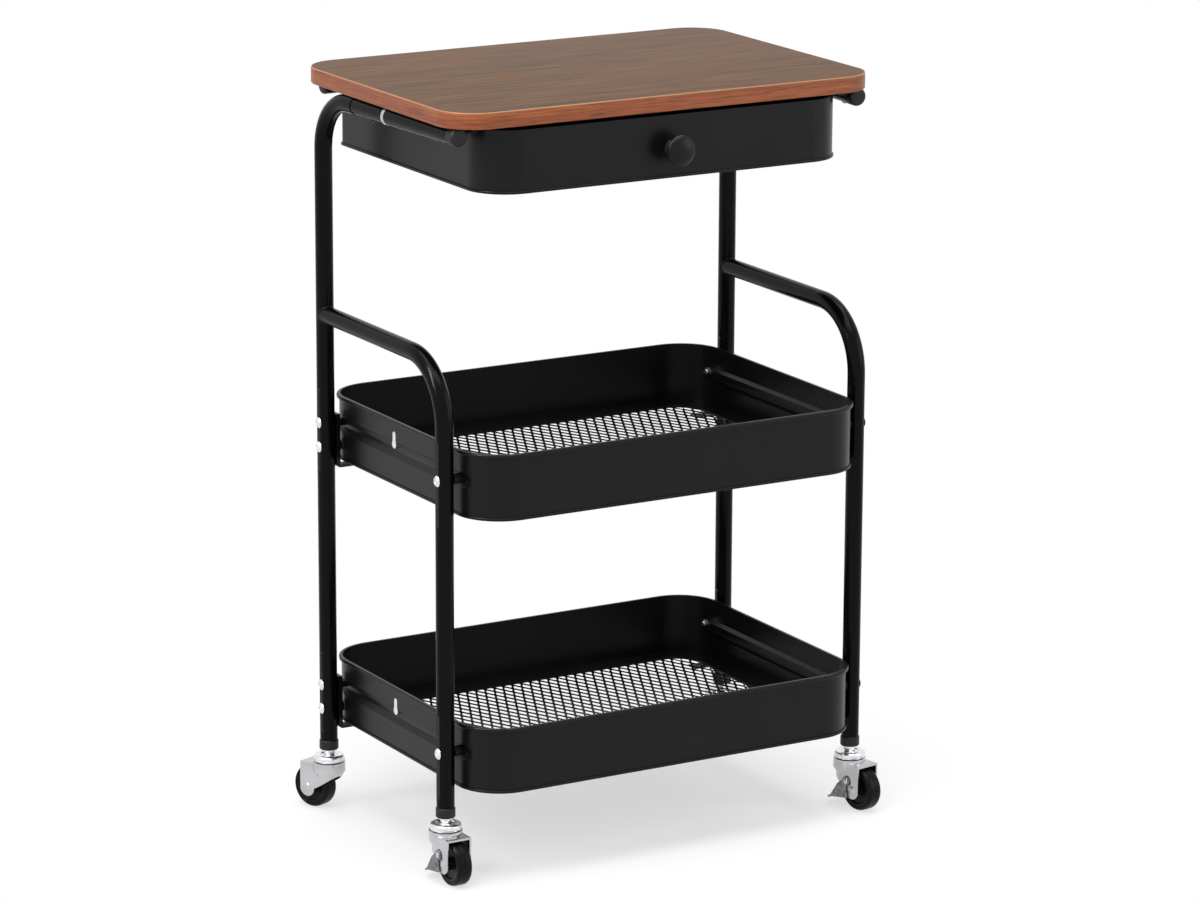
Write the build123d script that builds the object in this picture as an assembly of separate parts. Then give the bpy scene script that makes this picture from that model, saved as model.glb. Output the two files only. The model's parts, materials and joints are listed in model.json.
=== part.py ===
from build123d import *
import math
import os

# Kitchen trolley: a wood-look worktop with a drawer under it, two mesh trays between tube side
# frames with arched handles, and four swivel casters, the front two with brake pedals.
# X runs to the right, Y to the back and Z up. The origin is on the floor, under the middle of the part.

# Gaps and cuts
OVERRUN = 5.0  # a cutting shape runs this far past what it cuts
FIXED_FIT = 0.05  # gap between pieces that are screwed, pressed or welded together
RUNNING_FIT = 0.08  # radial gap round a pin that turns
SLIDING_FIT = 0.3  # gap under and beside pieces that slide

# Whole trolley
OVERALL_DEPTH = 395.0  # crown of the knob to rear edge of the worktop
LEG_SPREAD = 526.0  # left tubes to right tubes, between centres
WORKTOP_HEIGHT = 855.0

# Worktop
BOARD_OVERHANG = 3.0  # past the tubes' centres
BOARD_SET_BACK = 24.0  # front edge behind the knob's crown
BOARD_T = 18.0
BOARD_CORNER = 45.0
BOARD_ARRIS = 1.2

# Side frame tubes
TUBE_D = 20.0
TUBE_WALL = 1.5
FRONT_LEG_INSET = 58.5  # from the knob's crown
REAR_LEG_INSET = 57.0  # from the worktop's rear edge
TOP_BEND_RADIUS = 58.0
HANDLE_HEIGHT = 580.0
HANDLE_BEND_RADIUS = 72.0
SEAT_FLAT_DEPTH = 0.7  # the tubes are pressed flat where a tray is screwed to them
SEAT_FLAT_MARGIN = 12.0  # the flats run this far past the tray, up and down
FOOT_HEIGHT = 72.0  # underside of the foot inserts above the floor

# Top arms: the rear upright narrows, and plugs into a front arm at a bright ring
NECK_D = 18.6
NECK_SET_FORWARD = 76.0  # ahead of the rear uprights
ARM_REACH = 0.5  # front end ahead of the front legs
ARM_SHARE = 0.3936  # of the distance between the legs
NECK_SCREW_SHARE = 0.4255  # along the neck
ARM_SCREW_INSET = 14.0
SPIGOT_LENGTH = 32.0
RING_D = 21.2
RING_LENGTH = 5.0
CAP_D = 21.0
CAP_LENGTH = 14.0
CAP_PLUG_LENGTH = 16.0
CAP_EDGE = 4.0

# Foot inserts
INSERT_D = 21.8
INSERT_SLEEVE_H = 11.0
INSERT_BASE_H = 2.0
INSERT_PLUG_H = 28.0
INSERT_EDGE = 0.8

# Trays
TRAY_SIDE_GAP = 7.0  # between the tubes and the tray walls
TRAY_END_GAP = 13.5  # tray ends inside the overall depth, on average
TRAY_H = 74.0
TRAY_CORNER = 50.0
TRAY_SHEET = 1.2
TRAY_FORWARD = 5.5  # middle of the trays ahead of the origin
UPPER_TRAY_Z = 411.0
LOWER_TRAY_Z = 104.0
RIM_OUT = 3.0
RIM_H = 5.0
RIM_EDGE = 1.9
BEAD_OUT = 1.6
BEAD_H = 3.2
BEAD_EDGE = 1.0
GROOVE_DEPTH = 4.5  # pressed groove along each side wall
GROOVE_LOW = 31.0
GROOVE_FLOOR_LOW = 37.0
GROOVE_FLOOR_HIGH = 46.0
GROOVE_HIGH = 49.0
GROOVE_RUNOUT = 24.0  # the groove fades out round the corners
FLOOR_RISE = 4.0
BORDER = 27.0  # solid floor between the walls and the mesh
WINDOW_CORNER = 30.0
WINDOW_LIP_W = 2.4
WINDOW_LIP_H = 1.6
KEYHOLE_H = 17.0
KEYHOLE_W = 6.0
KEYHOLE_NECK_W = 4.0
KEYHOLE_RISE = 51.0  # middle of the slot above the tray's lower edge
KEYHOLE_Y = 15.0  # behind the middle of the tray

# Mesh floors
MESH_T = 1.0
MESH_LAP = 9.0  # the sheet reaches this far under the border
MESH_PITCH_X = 22.0
MESH_PITCH_Y = 46.0
MESH_STRAND = 4.0

# Tray screws, nuts, spacers and brackets
SCREW_D = 5.0
HEAD_D = 10.0
HEAD_H = 3.0
NUT_AF = 8.0
NUT_H = 4.0
TIP_H = 2.0
SPACER_D = 13.0
FRONT_SCREW_RISE = 41.0
REAR_SCREW_RISE = 45.0
REAR_LOW_SCREW_RISE = 17.0
BRACKET_W = 16.0
BRACKET_T = 2.0
BRACKET_DROP = 8.0
BRACKET_FOOT = 26.0
BRACKET_TOP_RISE = 54.0
BRACKET_BEND = 5.0

# Drawer
DRAWER_SIDE_GAP = 27.0  # between the tubes and the drawer walls
DRAWER_REAR_GAP = 22.0  # rear wall inside the worktop's rear edge
DRAWER_FRONT_CORNER = 45.0
DRAWER_REAR_CORNER = 12.0
DRAWER_SHEET = 1.2
DRAWER_TOP_GAP = 4.5  # under the worktop
DRAWER_H = 69.0
DRAWER_LEDGE = 10.0  # turned-in ledge that carries the floor panel
DRAWER_FLOOR_T = 3.0
DRAWER_TRAVEL = 220.0
HEM_W = 3.0  # turned-in top edge
SLIDE_LIP_W = 13.0
SLIDE_LIP_INSET = 6.0  # the lips stop short of the front corners

# Knob
KNOB_D = 33.0
KNOB_LENGTH = 27.0
KNOB_HEAD_L = 15.0
KNOB_STEM_D = 13.0
KNOB_FLARE_D = 18.0
KNOB_FLARE_L = 3.0
KNOB_EDGE = 4.0
KNOB_CROWN = 3.0
KNOB_SCREW_D = 4.0
KNOB_SCREW_DEPTH = 14.0
KNOB_DROP = 1.5  # below the middle of the drawer front

# Drawer runners, stops and rear bar
RUNNER_SHEET = 1.5
RUNNER_SIDE_GAP = 1.5  # between the slide lip and the runner's web
RUNNER_LEDGE_GAP = 1.6  # between the runner's ledge and the drawer wall
RUNNER_FLANGE = 10.0
RUNNER_FRONT_GAP = 23.0  # behind the drawer front
RUNNER_REAR_GAP = 1.0  # inside the drawer's rear wall
RUNNER_SCREW_D = 4.0
RUNNER_HEAD_D = 8.0
RUNNER_HEAD_H = 2.0
RUNNER_SCREW_DEPTH = 11.0
RUNNER_SCREW_SHARES = (0.1, 0.5, 0.9)
STOP_L = 14.0
STOP_W = 18.0
STOP_H = 9.0
STOP_SHARE = 0.6637  # of half the drawer's width
STOP_EDGE = 2.0
BAR_D = 18.0
BAR_REACH = 10.0  # past each side of the drawer
BAR_REAR_GAP = 1.0  # inside the worktop's rear edge
BAR_PLUG_L = 5.0
STRAP_SHARE = 0.885  # of half the drawer's width
STRAP_W = 14.0
STRAP_T = 2.5
STRAP_FOOT = 24.0
STRAP_BEND = 6.0
BOARD_SCREW_D = 5.0
BOARD_SCREW_DEPTH = 11.0
BOARD_HEAD_D = 9.0
BOARD_HEAD_H = 2.2
BAR_SCREW_SHARE = 0.708  # of half the drawer's width

# Casters: front ones point forward, rear ones trail outward
WHEEL_D = 50.0
WHEEL_W = 18.0
WHEEL_TREAD_EDGE = 3.0
WHEEL_HUB_D = 14.0
WHEEL_DISH = 2.5
WHEEL_RIM_W = 5.0
TRAIL = 21.0
FORK_GAP = 26.0
FORK_T = 2.0
FORK_TOP = 57.5  # top of the round race under the cup
FORK_PLATE_TOP = 54.5
FORK_PLATE_T = 2.2
FORK_FRONT = 31.0  # straight front edge of the legs, ahead of the swivel
FORK_EDGE = 5.0
FORK_TIP_R = 10.5
FORK_SHOULDER = 12.0
RACE_D = 37.0
SKIRT_Z = 46.0  # the round skirt under the race narrows to the flat legs below this
SKIRT_TAPER = 5.5
KING_POCKET_D = 18.0
AXLE_D = 6.0
RIVET_D = 10.0
RIVET_H = 1.8
CUP_D = 36.0
CUP_GAP = 0.5  # ball race gap between the cup and the fork
CUP_H = 8.0
CUP_EDGE = 3.4
CUP_DISH_D = 20.0
CUP_DISH = 2.0
NECK_COLLAR_D = 12.0
STEM_D = 8.0
STEM_REACH = 24.0
KING_D = 10.0  # the stem's journal in the fork
KING_HEAD_D = 15.0
KING_HEAD_H = 1.6
KING_GAP = 0.2
KING_LIP = 2.2  # race left above the journal's head
CASTER_TURNS = {"front_left": 0.0, "front_right": 9.0, "rear_left": 201.8, "rear_right": 158.2}

# Brake pedals on the front casters: a pressed lever that straddles the fork
PEDAL_T = 1.4
PEDAL_SIDE_GAP = 0.4  # between a cheek and the fork leg
PEDAL_PIVOT_FORWARD = 12.5
PEDAL_PIVOT_Z = 34.0
PEDAL_PIN_D = 4.0
PEDAL_EYE_R = 6.0
PEDAL_FRONT = 15.0  # lower front corner of the cheeks, ahead of the swivel
PEDAL_FRONT_Z = 14.5
PEDAL_BACK = 2.0
PEDAL_BACK_Z = 28.5
PEDAL_TOE_BACK = 15.0
PEDAL_TOE_Z = 9.5
PEDAL_BRIDGE_SHARE = 0.55  # share of the back edge that the bridge covers
PEDAL_TOE_L = 9.0
PEDAL_TOE_DROP = 2.0
PEDAL_PIN_HEAD_D = 7.0
PEDAL_PIN_HEAD_H = 1.4

# Places worked out from the sizes above
TUBE_R = TUBE_D / 2
LEG_X = LEG_SPREAD / 2
FRONT_LEG_Y = FRONT_LEG_INSET - OVERALL_DEPTH / 2
REAR_LEG_Y = OVERALL_DEPTH / 2 - REAR_LEG_INSET
BOARD_W = LEG_SPREAD + 2 * BOARD_OVERHANG
BOARD_D = OVERALL_DEPTH - BOARD_SET_BACK
NECK_REAR_Y = REAR_LEG_Y - NECK_SET_FORWARD
ARM_FRONT_Y = FRONT_LEG_Y - ARM_REACH
ARM_JOINT_Y = ARM_FRONT_Y + ARM_SHARE * (REAR_LEG_Y - FRONT_LEG_Y)
ARM_SCREW_YS = (NECK_REAR_Y + NECK_SCREW_SHARE * (ARM_JOINT_Y - NECK_REAR_Y), ARM_FRONT_Y + ARM_SCREW_INSET)
TRAY_W = LEG_SPREAD - TUBE_D - 2 * TRAY_SIDE_GAP
TRAY_D = OVERALL_DEPTH - 2 * TRAY_END_GAP
TRAY_Y = -TRAY_FORWARD
DRAWER_W = LEG_SPREAD - TUBE_D - 2 * DRAWER_SIDE_GAP
DRAWER_FRONT_Y = KNOB_LENGTH - OVERALL_DEPTH / 2
DRAWER_REAR_Y = OVERALL_DEPTH / 2 - DRAWER_REAR_GAP
RUNNER_FRONT_Y = DRAWER_FRONT_Y + RUNNER_FRONT_GAP
RUNNER_REAR_Y = DRAWER_REAR_Y - RUNNER_REAR_GAP
STOP_X = STOP_SHARE * DRAWER_W / 2
STRAP_X = STRAP_SHARE * DRAWER_W / 2
BAR_SCREW_X = BAR_SCREW_SHARE * DRAWER_W / 2
BAR_LENGTH = DRAWER_W + 2 * BAR_REACH
BOARD_UNDER = WORKTOP_HEIGHT - BOARD_T
BOARD_Y = OVERALL_DEPTH / 2 - BOARD_D / 2
ARM_Z = BOARD_UNDER - TUBE_R
TRAYS = {"upper": UPPER_TRAY_Z, "lower": LOWER_TRAY_Z}
SIDES = {"left": -1, "right": 1}
TUBE_END = FOOT_HEIGHT + INSERT_BASE_H
BORE_R = TUBE_R - TUBE_WALL
SEAT_X = LEG_X - TUBE_R + SEAT_FLAT_DEPTH  # inner flat of the tubes
HEAD_X = LEG_X + TUBE_R - SEAT_FLAT_DEPTH  # outer flat, under the screw heads
WALL_X = TRAY_W / 2
NUT_FACE_X = WALL_X - GROOVE_DEPTH - TRAY_SHEET  # inside of the tray's groove
NUTTED_SCREWS = ((FRONT_LEG_Y, FRONT_SCREW_RISE), (REAR_LEG_Y, REAR_SCREW_RISE))
WINDOW_W = TRAY_W - 2 * (TRAY_SHEET + BORDER)
WINDOW_D = TRAY_D - 2 * (TRAY_SHEET + BORDER)
DRAWER_TOP = BOARD_UNDER - DRAWER_TOP_GAP
DRAWER_Z = DRAWER_TOP - DRAWER_H
LIP_X = DRAWER_W / 2 + SLIDE_LIP_W
LEDGE_TOP = DRAWER_TOP - DRAWER_SHEET - SLIDING_FIT
WEB_X = LIP_X + RUNNER_SIDE_GAP
BAR_Y = OVERALL_DEPTH / 2 - BAR_REAR_GAP - BAR_D / 2
BAR_Z = BOARD_UNDER - BAR_D / 2
KNOB_Z = DRAWER_Z + DRAWER_H / 2 - KNOB_DROP
AXLE_Z = WHEEL_D / 2
FORK_OUTER = FORK_GAP / 2 + FORK_T
FORK_UNDER = FORK_PLATE_TOP - FORK_PLATE_T
FORK_BACK = RACE_D / 2
KING_END = FORK_TOP - KING_LIP - KING_GAP
CHEEK_IN = FORK_OUTER + PEDAL_SIDE_GAP
CHEEK_OUT = CHEEK_IN + PEDAL_T
CUP_Z = FORK_TOP + CUP_GAP


def save(node, *shapes):
    """Writes one node; several shapes become a group of separate solids."""
    solids = [s for shape in shapes for s in shape.solids()]
    export_step(Compound(label=node, children=solids), f"parts/{node}.step")


def plate(width, depth, corner):
    """A flat outline with rounded corners."""
    return RectangleRounded(width, depth, corner)


def rod(diameter, length, axis):
    """A round bar along an axis, from the origin in the axis's own direction."""
    return extrude(Plane(origin=(0, 0, 0), z_dir=axis) * Circle(diameter / 2), amount=length)


def turned(*points):
    """A solid of revolution about Z from an outline of radius and height pairs."""
    return revolve(Plane.XZ * make_face(Polyline(*points, close=True)), axis=Axis.Z)


def bent_tube(diameter, wall, radius, *points):
    """A hollow tube along straight runs joined by one bend radius."""
    path = FilletPolyline(*points, radius=radius)
    section = Circle(diameter / 2) - Circle(diameter / 2 - wall)
    return sweep(Plane(origin=path @ 0, z_dir=path % 0) * section, path=path)


def rim_ring(width, depth, corner, sheet, out, height, edge):
    """A ring round a sheet wall that stands proud of it, with rounded outer edges."""
    outer = plate(width + 2 * out, depth + 2 * out, corner + out)
    inner = plate(width - 2 * sheet, depth - 2 * sheet, corner - sheet)
    ring = extrude(outer, amount=height)
    flats = ring.faces().sort_by(Axis.Z)
    ring = fillet(flats[-1].edges() + flats[0].edges(), edge)
    return ring - extrude(inner, amount=height)


# Worktop with rounded corners and pilot holes for the screws that hold it
def worktop():
    board = extrude(plate(BOARD_W, BOARD_D, BOARD_CORNER), amount=BOARD_T)
    board = fillet(board.faces().sort_by(Axis.Z)[-1].edges(), BOARD_ARRIS)
    board = Pos(0, BOARD_Y, BOARD_UNDER) * board
    for x, y, diameter, depth in board_holes():
        hole = rod(diameter + 2 * FIXED_FIT, depth + FIXED_FIT + OVERRUN, (0, 0, 1))
        board -= Pos(x, y, BOARD_UNDER - OVERRUN) * hole
    return board


def board_holes():
    """Screws that go up into the worktop: place, diameter and depth."""
    holes = [(s * LEG_X, y, BOARD_SCREW_D, BOARD_SCREW_DEPTH) for s in SIDES.values() for y in ARM_SCREW_YS]
    holes += [(s * BAR_SCREW_X, BAR_Y, BOARD_SCREW_D, BOARD_SCREW_DEPTH) for s in SIDES.values()]
    holes += [(x, y, RUNNER_SCREW_D, RUNNER_SCREW_DEPTH) for x, y in runner_screw_places()]
    return holes + [(s * STOP_X, stop_y(), RUNNER_SCREW_D, RUNNER_SCREW_DEPTH) for s in SIDES.values()]


def runner_screw_places():
    x = WEB_X + RUNNER_SHEET + RUNNER_FLANGE / 2
    length = RUNNER_REAR_Y - RUNNER_FRONT_Y
    return [(s * x, RUNNER_FRONT_Y + share * length) for s in SIDES.values() for share in RUNNER_SCREW_SHARES]


def stop_y():
    """Middle of the stops, which meet the hem of the drawer's rear wall at full travel."""
    return DRAWER_REAR_Y - DRAWER_SHEET - HEM_W - DRAWER_TRAVEL - SLIDING_FIT - STOP_L / 2


# Side frames
def seat_flats(leg_y, side):
    """Pressed flats on the outer and inner side of a tube, one pair for each tray."""
    length = TRAY_H + 2 * SEAT_FLAT_MARGIN
    width = 2 * math.sqrt(TUBE_R**2 - (TUBE_R - SEAT_FLAT_DEPTH) ** 2)
    slot = extrude(Plane.YZ * Rot(0, 0, 90) * SlotOverall(length, width), amount=OVERRUN)
    for z in TRAYS.values():
        middle = z + TRAY_H / 2
        yield Pos(HEAD_X if side > 0 else -HEAD_X - OVERRUN, leg_y, middle) * slot
        yield Pos(SEAT_X - OVERRUN if side > 0 else -SEAT_X, leg_y, middle) * slot


def screw_hole(x0, x1, y, z, diameter):
    """A round hole along X between two places."""
    return Pos(x0, y, z) * rod(diameter, x1 - x0, (1, 0, 0))


def leg_holes(leg_y, rises, side):
    """Clearance holes through a tube for the tray screws."""
    x0 = side * LEG_X - TUBE_D
    for z in TRAYS.values():
        for rise in rises:
            yield screw_hole(x0, x0 + 2 * TUBE_D, leg_y, z + rise, SCREW_D + 2 * FIXED_FIT)


def board_screw_cuts(x, ys):
    """Holes up through an arm, with a flat for the screw head under it."""
    for y in ys:
        yield Pos(x, y, ARM_Z - TUBE_D) * rod(BOARD_SCREW_D + 2 * FIXED_FIT, 2 * TUBE_D, (0, 0, 1))
        head_room = rod(BOARD_HEAD_D + 2 * FIXED_FIT, OVERRUN, (0, 0, 1))
        yield Pos(x, y, ARM_Z - TUBE_R + SEAT_FLAT_DEPTH - OVERRUN) * head_room


def rear_upright(side):
    """Upright that bends forward under the worktop and narrows into a neck and a spigot."""
    x = side * LEG_X
    tube = bent_tube(TUBE_D, TUBE_WALL, TOP_BEND_RADIUS, (x, REAR_LEG_Y, TUBE_END),
                     (x, REAR_LEG_Y, ARM_Z), (x, NECK_REAR_Y, ARM_Z))
    neck = rod(NECK_D, NECK_REAR_Y - ARM_JOINT_Y, (0, -1, 0))
    spigot_d = 2 * (BORE_R - FIXED_FIT)
    spigot = rod(spigot_d, NECK_REAR_Y - ARM_JOINT_Y + SPIGOT_LENGTH, (0, -1, 0))
    bore = rod(spigot_d - 2 * TUBE_WALL, NECK_REAR_Y - ARM_JOINT_Y + SPIGOT_LENGTH, (0, -1, 0))
    tube += Pos(x, NECK_REAR_Y, ARM_Z) * (neck + spigot - bore)
    for cut in seat_flats(REAR_LEG_Y, side):
        tube -= cut
    for cut in leg_holes(REAR_LEG_Y, (REAR_SCREW_RISE, REAR_LOW_SCREW_RISE), side):
        tube -= cut
    for cut in board_screw_cuts(x, ARM_SCREW_YS[:1]):
        tube -= cut
    return tube


def top_arm(side):
    """Front arm under the worktop, pushed over the upright's spigot."""
    length = ARM_JOINT_Y - RING_LENGTH - ARM_FRONT_Y
    arm = rod(TUBE_D, length, (0, -1, 0)) - rod(2 * BORE_R, length, (0, -1, 0))
    arm = Pos(side * LEG_X, ARM_JOINT_Y - RING_LENGTH, ARM_Z) * arm
    for cut in board_screw_cuts(side * LEG_X, ARM_SCREW_YS[1:]):
        arm -= cut
    return arm


def arm_ring(side):
    """Bright ring between the neck and the front arm."""
    ring = rod(RING_D, RING_LENGTH, (0, -1, 0))
    ring = chamfer(ring.edges(), SEAT_FLAT_DEPTH)
    ring -= rod(2 * BORE_R, RING_LENGTH, (0, -1, 0))
    ring = Pos(side * LEG_X, ARM_JOINT_Y, ARM_Z) * ring
    return ring - worktop_clearance()


def worktop_clearance():
    """The worktop's space, which trims what is a little taller than the tubes."""
    return Pos(0, BOARD_Y, BOARD_UNDER) * extrude(Rectangle(BOARD_W, BOARD_D), amount=BOARD_T)


def arm_cap(side):
    """Rounded plastic plug in the front end of an arm."""
    head = rod(CAP_D, CAP_LENGTH, (0, -1, 0))
    head = fillet(head.faces().sort_by(Axis.Y)[0].edges(), CAP_EDGE)
    plug = rod(2 * (BORE_R - FIXED_FIT), CAP_PLUG_LENGTH, (0, 1, 0))
    cap = Pos(side * LEG_X, ARM_FRONT_Y, ARM_Z) * (head + plug)
    for cut in board_screw_cuts(side * LEG_X, ARM_SCREW_YS[1:]):
        cap -= cut
    return cap - worktop_clearance()


def handle_leg(side):
    """Front leg that arches back into a handle and meets the rear upright."""
    x = side * LEG_X
    tube = bent_tube(TUBE_D, TUBE_WALL, HANDLE_BEND_RADIUS, (x, FRONT_LEG_Y, TUBE_END),
                     (x, FRONT_LEG_Y, HANDLE_HEIGHT), (x, REAR_LEG_Y, HANDLE_HEIGHT))
    upright = rod(TUBE_D + 2 * FIXED_FIT, 2 * TUBE_D, (0, 0, 1))
    tube -= Pos(x, REAR_LEG_Y, HANDLE_HEIGHT - TUBE_D) * upright
    for cut in seat_flats(FRONT_LEG_Y, side):
        tube -= cut
    for cut in leg_holes(FRONT_LEG_Y, (FRONT_SCREW_RISE,), side):
        tube -= cut
    return tube


def foot_insert(x, y):
    """Plastic ferrule on a tube's foot, with a plug that holds the caster's stem."""
    plug_r = BORE_R - FIXED_FIT
    bore_r = STEM_D / 2 + FIXED_FIT
    body = rod(INSERT_D, INSERT_SLEEVE_H, (0, 0, 1))
    body = chamfer(body.edges(), INSERT_EDGE)
    pocket = Circle(TUBE_R + FIXED_FIT) - Circle(plug_r)
    body -= Pos(0, 0, INSERT_BASE_H) * extrude(pocket, amount=INSERT_SLEEVE_H)
    body += rod(2 * plug_r, INSERT_PLUG_H, (0, 0, 1))
    return Pos(x, y, FOOT_HEIGHT) * (body - rod(2 * bore_r, INSERT_PLUG_H, (0, 0, 1)))


# Trays
def groove_outline():
    """The pressed groove's section, seen along the side wall, with its slopes run on outside the wall."""
    low_slope = (GROOVE_FLOOR_LOW - GROOVE_LOW) / GROOVE_DEPTH
    high_slope = (GROOVE_HIGH - GROOVE_FLOOR_HIGH) / GROOVE_DEPTH
    low_end = (OVERRUN, GROOVE_LOW - OVERRUN * low_slope)
    high_end = (OVERRUN, GROOVE_HIGH + OVERRUN * high_slope)
    floor = ((-GROOVE_DEPTH, GROOVE_FLOOR_LOW), (-GROOVE_DEPTH, GROOVE_FLOOR_HIGH))
    return make_face(Polyline(low_end, *floor, high_end, close=True))


def groove_bar(grow):
    """The groove's section, grown by a sheet, run along a tray's right wall past the start of the corners."""
    length = TRAY_D - 2 * TRAY_CORNER + 2 * (GROOVE_RUNOUT + grow)
    section = groove_outline()
    if grow:
        section = offset(section, amount=grow, kind=Kind.INTERSECTION)
    return Pos(WALL_X, 0, 0) * extrude(Plane.XZ * section, amount=length / 2, both=True)


def keyhole():
    """Slot in a side wall with a round top and a narrower neck below, cut along X."""
    slot = Rot(0, 0, 90) * SlotOverall(KEYHOLE_H, KEYHOLE_NECK_W)
    slot += Pos(0, (KEYHOLE_W - KEYHOLE_H) / 2) * Circle(KEYHOLE_W / 2)
    cut = extrude(Plane.YZ * slot, amount=TRAY_W, both=True)
    return Pos(0, KEYHOLE_Y, KEYHOLE_RISE) * cut


def tray():
    """Sheet tray about its own middle: walls, rolled rim, foot bead, grooves and floor border."""
    outline = plate(TRAY_W, TRAY_D, TRAY_CORNER)
    inside = plate(TRAY_W - 2 * TRAY_SHEET, TRAY_D - 2 * TRAY_SHEET, TRAY_CORNER - TRAY_SHEET)
    middle = plate(TRAY_W - TRAY_SHEET, TRAY_D - TRAY_SHEET, TRAY_CORNER - TRAY_SHEET / 2)
    shell = extrude(outline - inside, amount=TRAY_H)
    ridge = groove_bar(TRAY_SHEET) & extrude(middle, amount=TRAY_H)
    groove = groove_bar(0)
    shell += ridge
    shell += mirror(ridge, about=Plane.YZ)
    shell -= groove
    shell -= mirror(groove, about=Plane.YZ)
    rim = rim_ring(TRAY_W, TRAY_D, TRAY_CORNER, TRAY_SHEET, RIM_OUT, RIM_H, RIM_EDGE)
    shell += Pos(0, 0, TRAY_H - RIM_H) * rim
    shell += rim_ring(TRAY_W, TRAY_D, TRAY_CORNER, TRAY_SHEET, BEAD_OUT, BEAD_H, BEAD_EDGE)
    window = plate(WINDOW_W, WINDOW_D, WINDOW_CORNER)
    lip = plate(WINDOW_W + 2 * WINDOW_LIP_W, WINDOW_D + 2 * WINDOW_LIP_W, WINDOW_CORNER + WINDOW_LIP_W)
    shell += Pos(0, 0, FLOOR_RISE) * extrude(inside - window, amount=TRAY_SHEET)
    shell += Pos(0, 0, FLOOR_RISE) * extrude(lip - window, amount=TRAY_SHEET + WINDOW_LIP_H)
    return shell - keyhole()


def placed_tray(z):
    """A tray at its height, drilled for its screws."""
    body = Pos(0, TRAY_Y, z) * tray()
    for y, rise in NUTTED_SCREWS:
        body -= screw_hole(-TRAY_W, TRAY_W, y, z + rise, SCREW_D + 2 * FIXED_FIT)
    return body


def mesh_floor(z):
    """Expanded-metal sheet under the floor border: one face with staggered diamond gaps."""
    width = WINDOW_W + 2 * MESH_LAP
    depth = WINDOW_D + 2 * MESH_LAP
    outer = plate(width, depth, WINDOW_CORNER + MESH_LAP).wire()
    columns = int((width - MESH_PITCH_X) / MESH_PITCH_X * 2)
    rows = int((depth - MESH_PITCH_Y) / MESH_PITCH_Y * 2)
    half_x = (MESH_PITCH_X - MESH_STRAND) / 2
    half_y = (MESH_PITCH_Y - MESH_STRAND) / 2
    gaps = []
    for i in range(-columns, columns + 1):
        for j in range(-rows, rows + 1):
            x, y = i * MESH_PITCH_X / 2, j * MESH_PITCH_Y / 2
            inside = inside_window(x, y, half_x, half_y)
            if (i + j) % 2 == 0 and inside:
                corners = [(x - half_x, y), (x, y - half_y), (x + half_x, y), (x, y + half_y)]
                gaps.append(Wire.make_polygon(corners))
    sheet = extrude(Face(outer, gaps), amount=MESH_T)
    return Pos(0, TRAY_Y, z + FLOOR_RISE - MESH_T) * sheet


def inside_window(x, y, half_x, half_y):
    """True where a diamond gap lies inside the floor's window, clear of its round corners."""
    reach_x = WINDOW_W / 2 - abs(x) - half_x
    reach_y = WINDOW_D / 2 - abs(y) - half_y
    corner = abs(x) + half_x + abs(y) + half_y < (WINDOW_W + WINDOW_D) / 2 - WINDOW_CORNER / 2
    return reach_x > 0 and reach_y > 0 and corner


def tray_screw(side, y, z, tip):
    """Domed screw along X from its head on the tube's outer flat to its tip."""
    head = Pos(HEAD_X, 0, 0) * Rot(0, 90, 0) * dome(HEAD_D, HEAD_H)
    shank = Pos(tip, 0, 0) * rod(SCREW_D, HEAD_X - tip, (1, 0, 0))
    return Pos(0, y, z) * mirrored(head + shank, side)


def dome(diameter, height):
    """A domed screw head that stands on its flat face."""
    radius = (diameter**2 / 4 + height**2) / (2 * height)
    ball = Pos(0, 0, height - radius) * Sphere(radius)
    return ball & rod(diameter, height, (0, 0, 1))


def mirrored(shape, side):
    """A right-hand shape as it is, or its left-hand twin."""
    return shape if side > 0 else mirror(shape, about=Plane.YZ)


def tray_nut(side, y, z):
    nut = RegularPolygon(NUT_AF / 2, 6, major_radius=False) - Circle(SCREW_D / 2 + FIXED_FIT)
    nut = Pos(NUT_FACE_X - NUT_H, 0, 0) * extrude(Plane.YZ * nut, amount=NUT_H)
    return Pos(0, y, z) * mirrored(nut, side)


def front_spacer(side, z):
    """Sleeve between a front leg and the bottom of a tray's groove."""
    inner = WALL_X - GROOVE_DEPTH
    ring = Circle(SPACER_D / 2) - Circle(SCREW_D / 2 + FIXED_FIT)
    spacer = Pos(inner, 0, 0) * extrude(Plane.YZ * ring, amount=SEAT_X - inner)
    spacer = Pos(0, FRONT_LEG_Y, z + FRONT_SCREW_RISE) * spacer
    low, high = z + GROOVE_FLOOR_LOW, z + GROOVE_FLOOR_HIGH
    keep = Pos(0, FRONT_LEG_Y, (low + high) / 2) * Box(LEG_SPREAD, 2 * SPACER_D, high - low)
    return mirrored(spacer & keep, side)


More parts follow.
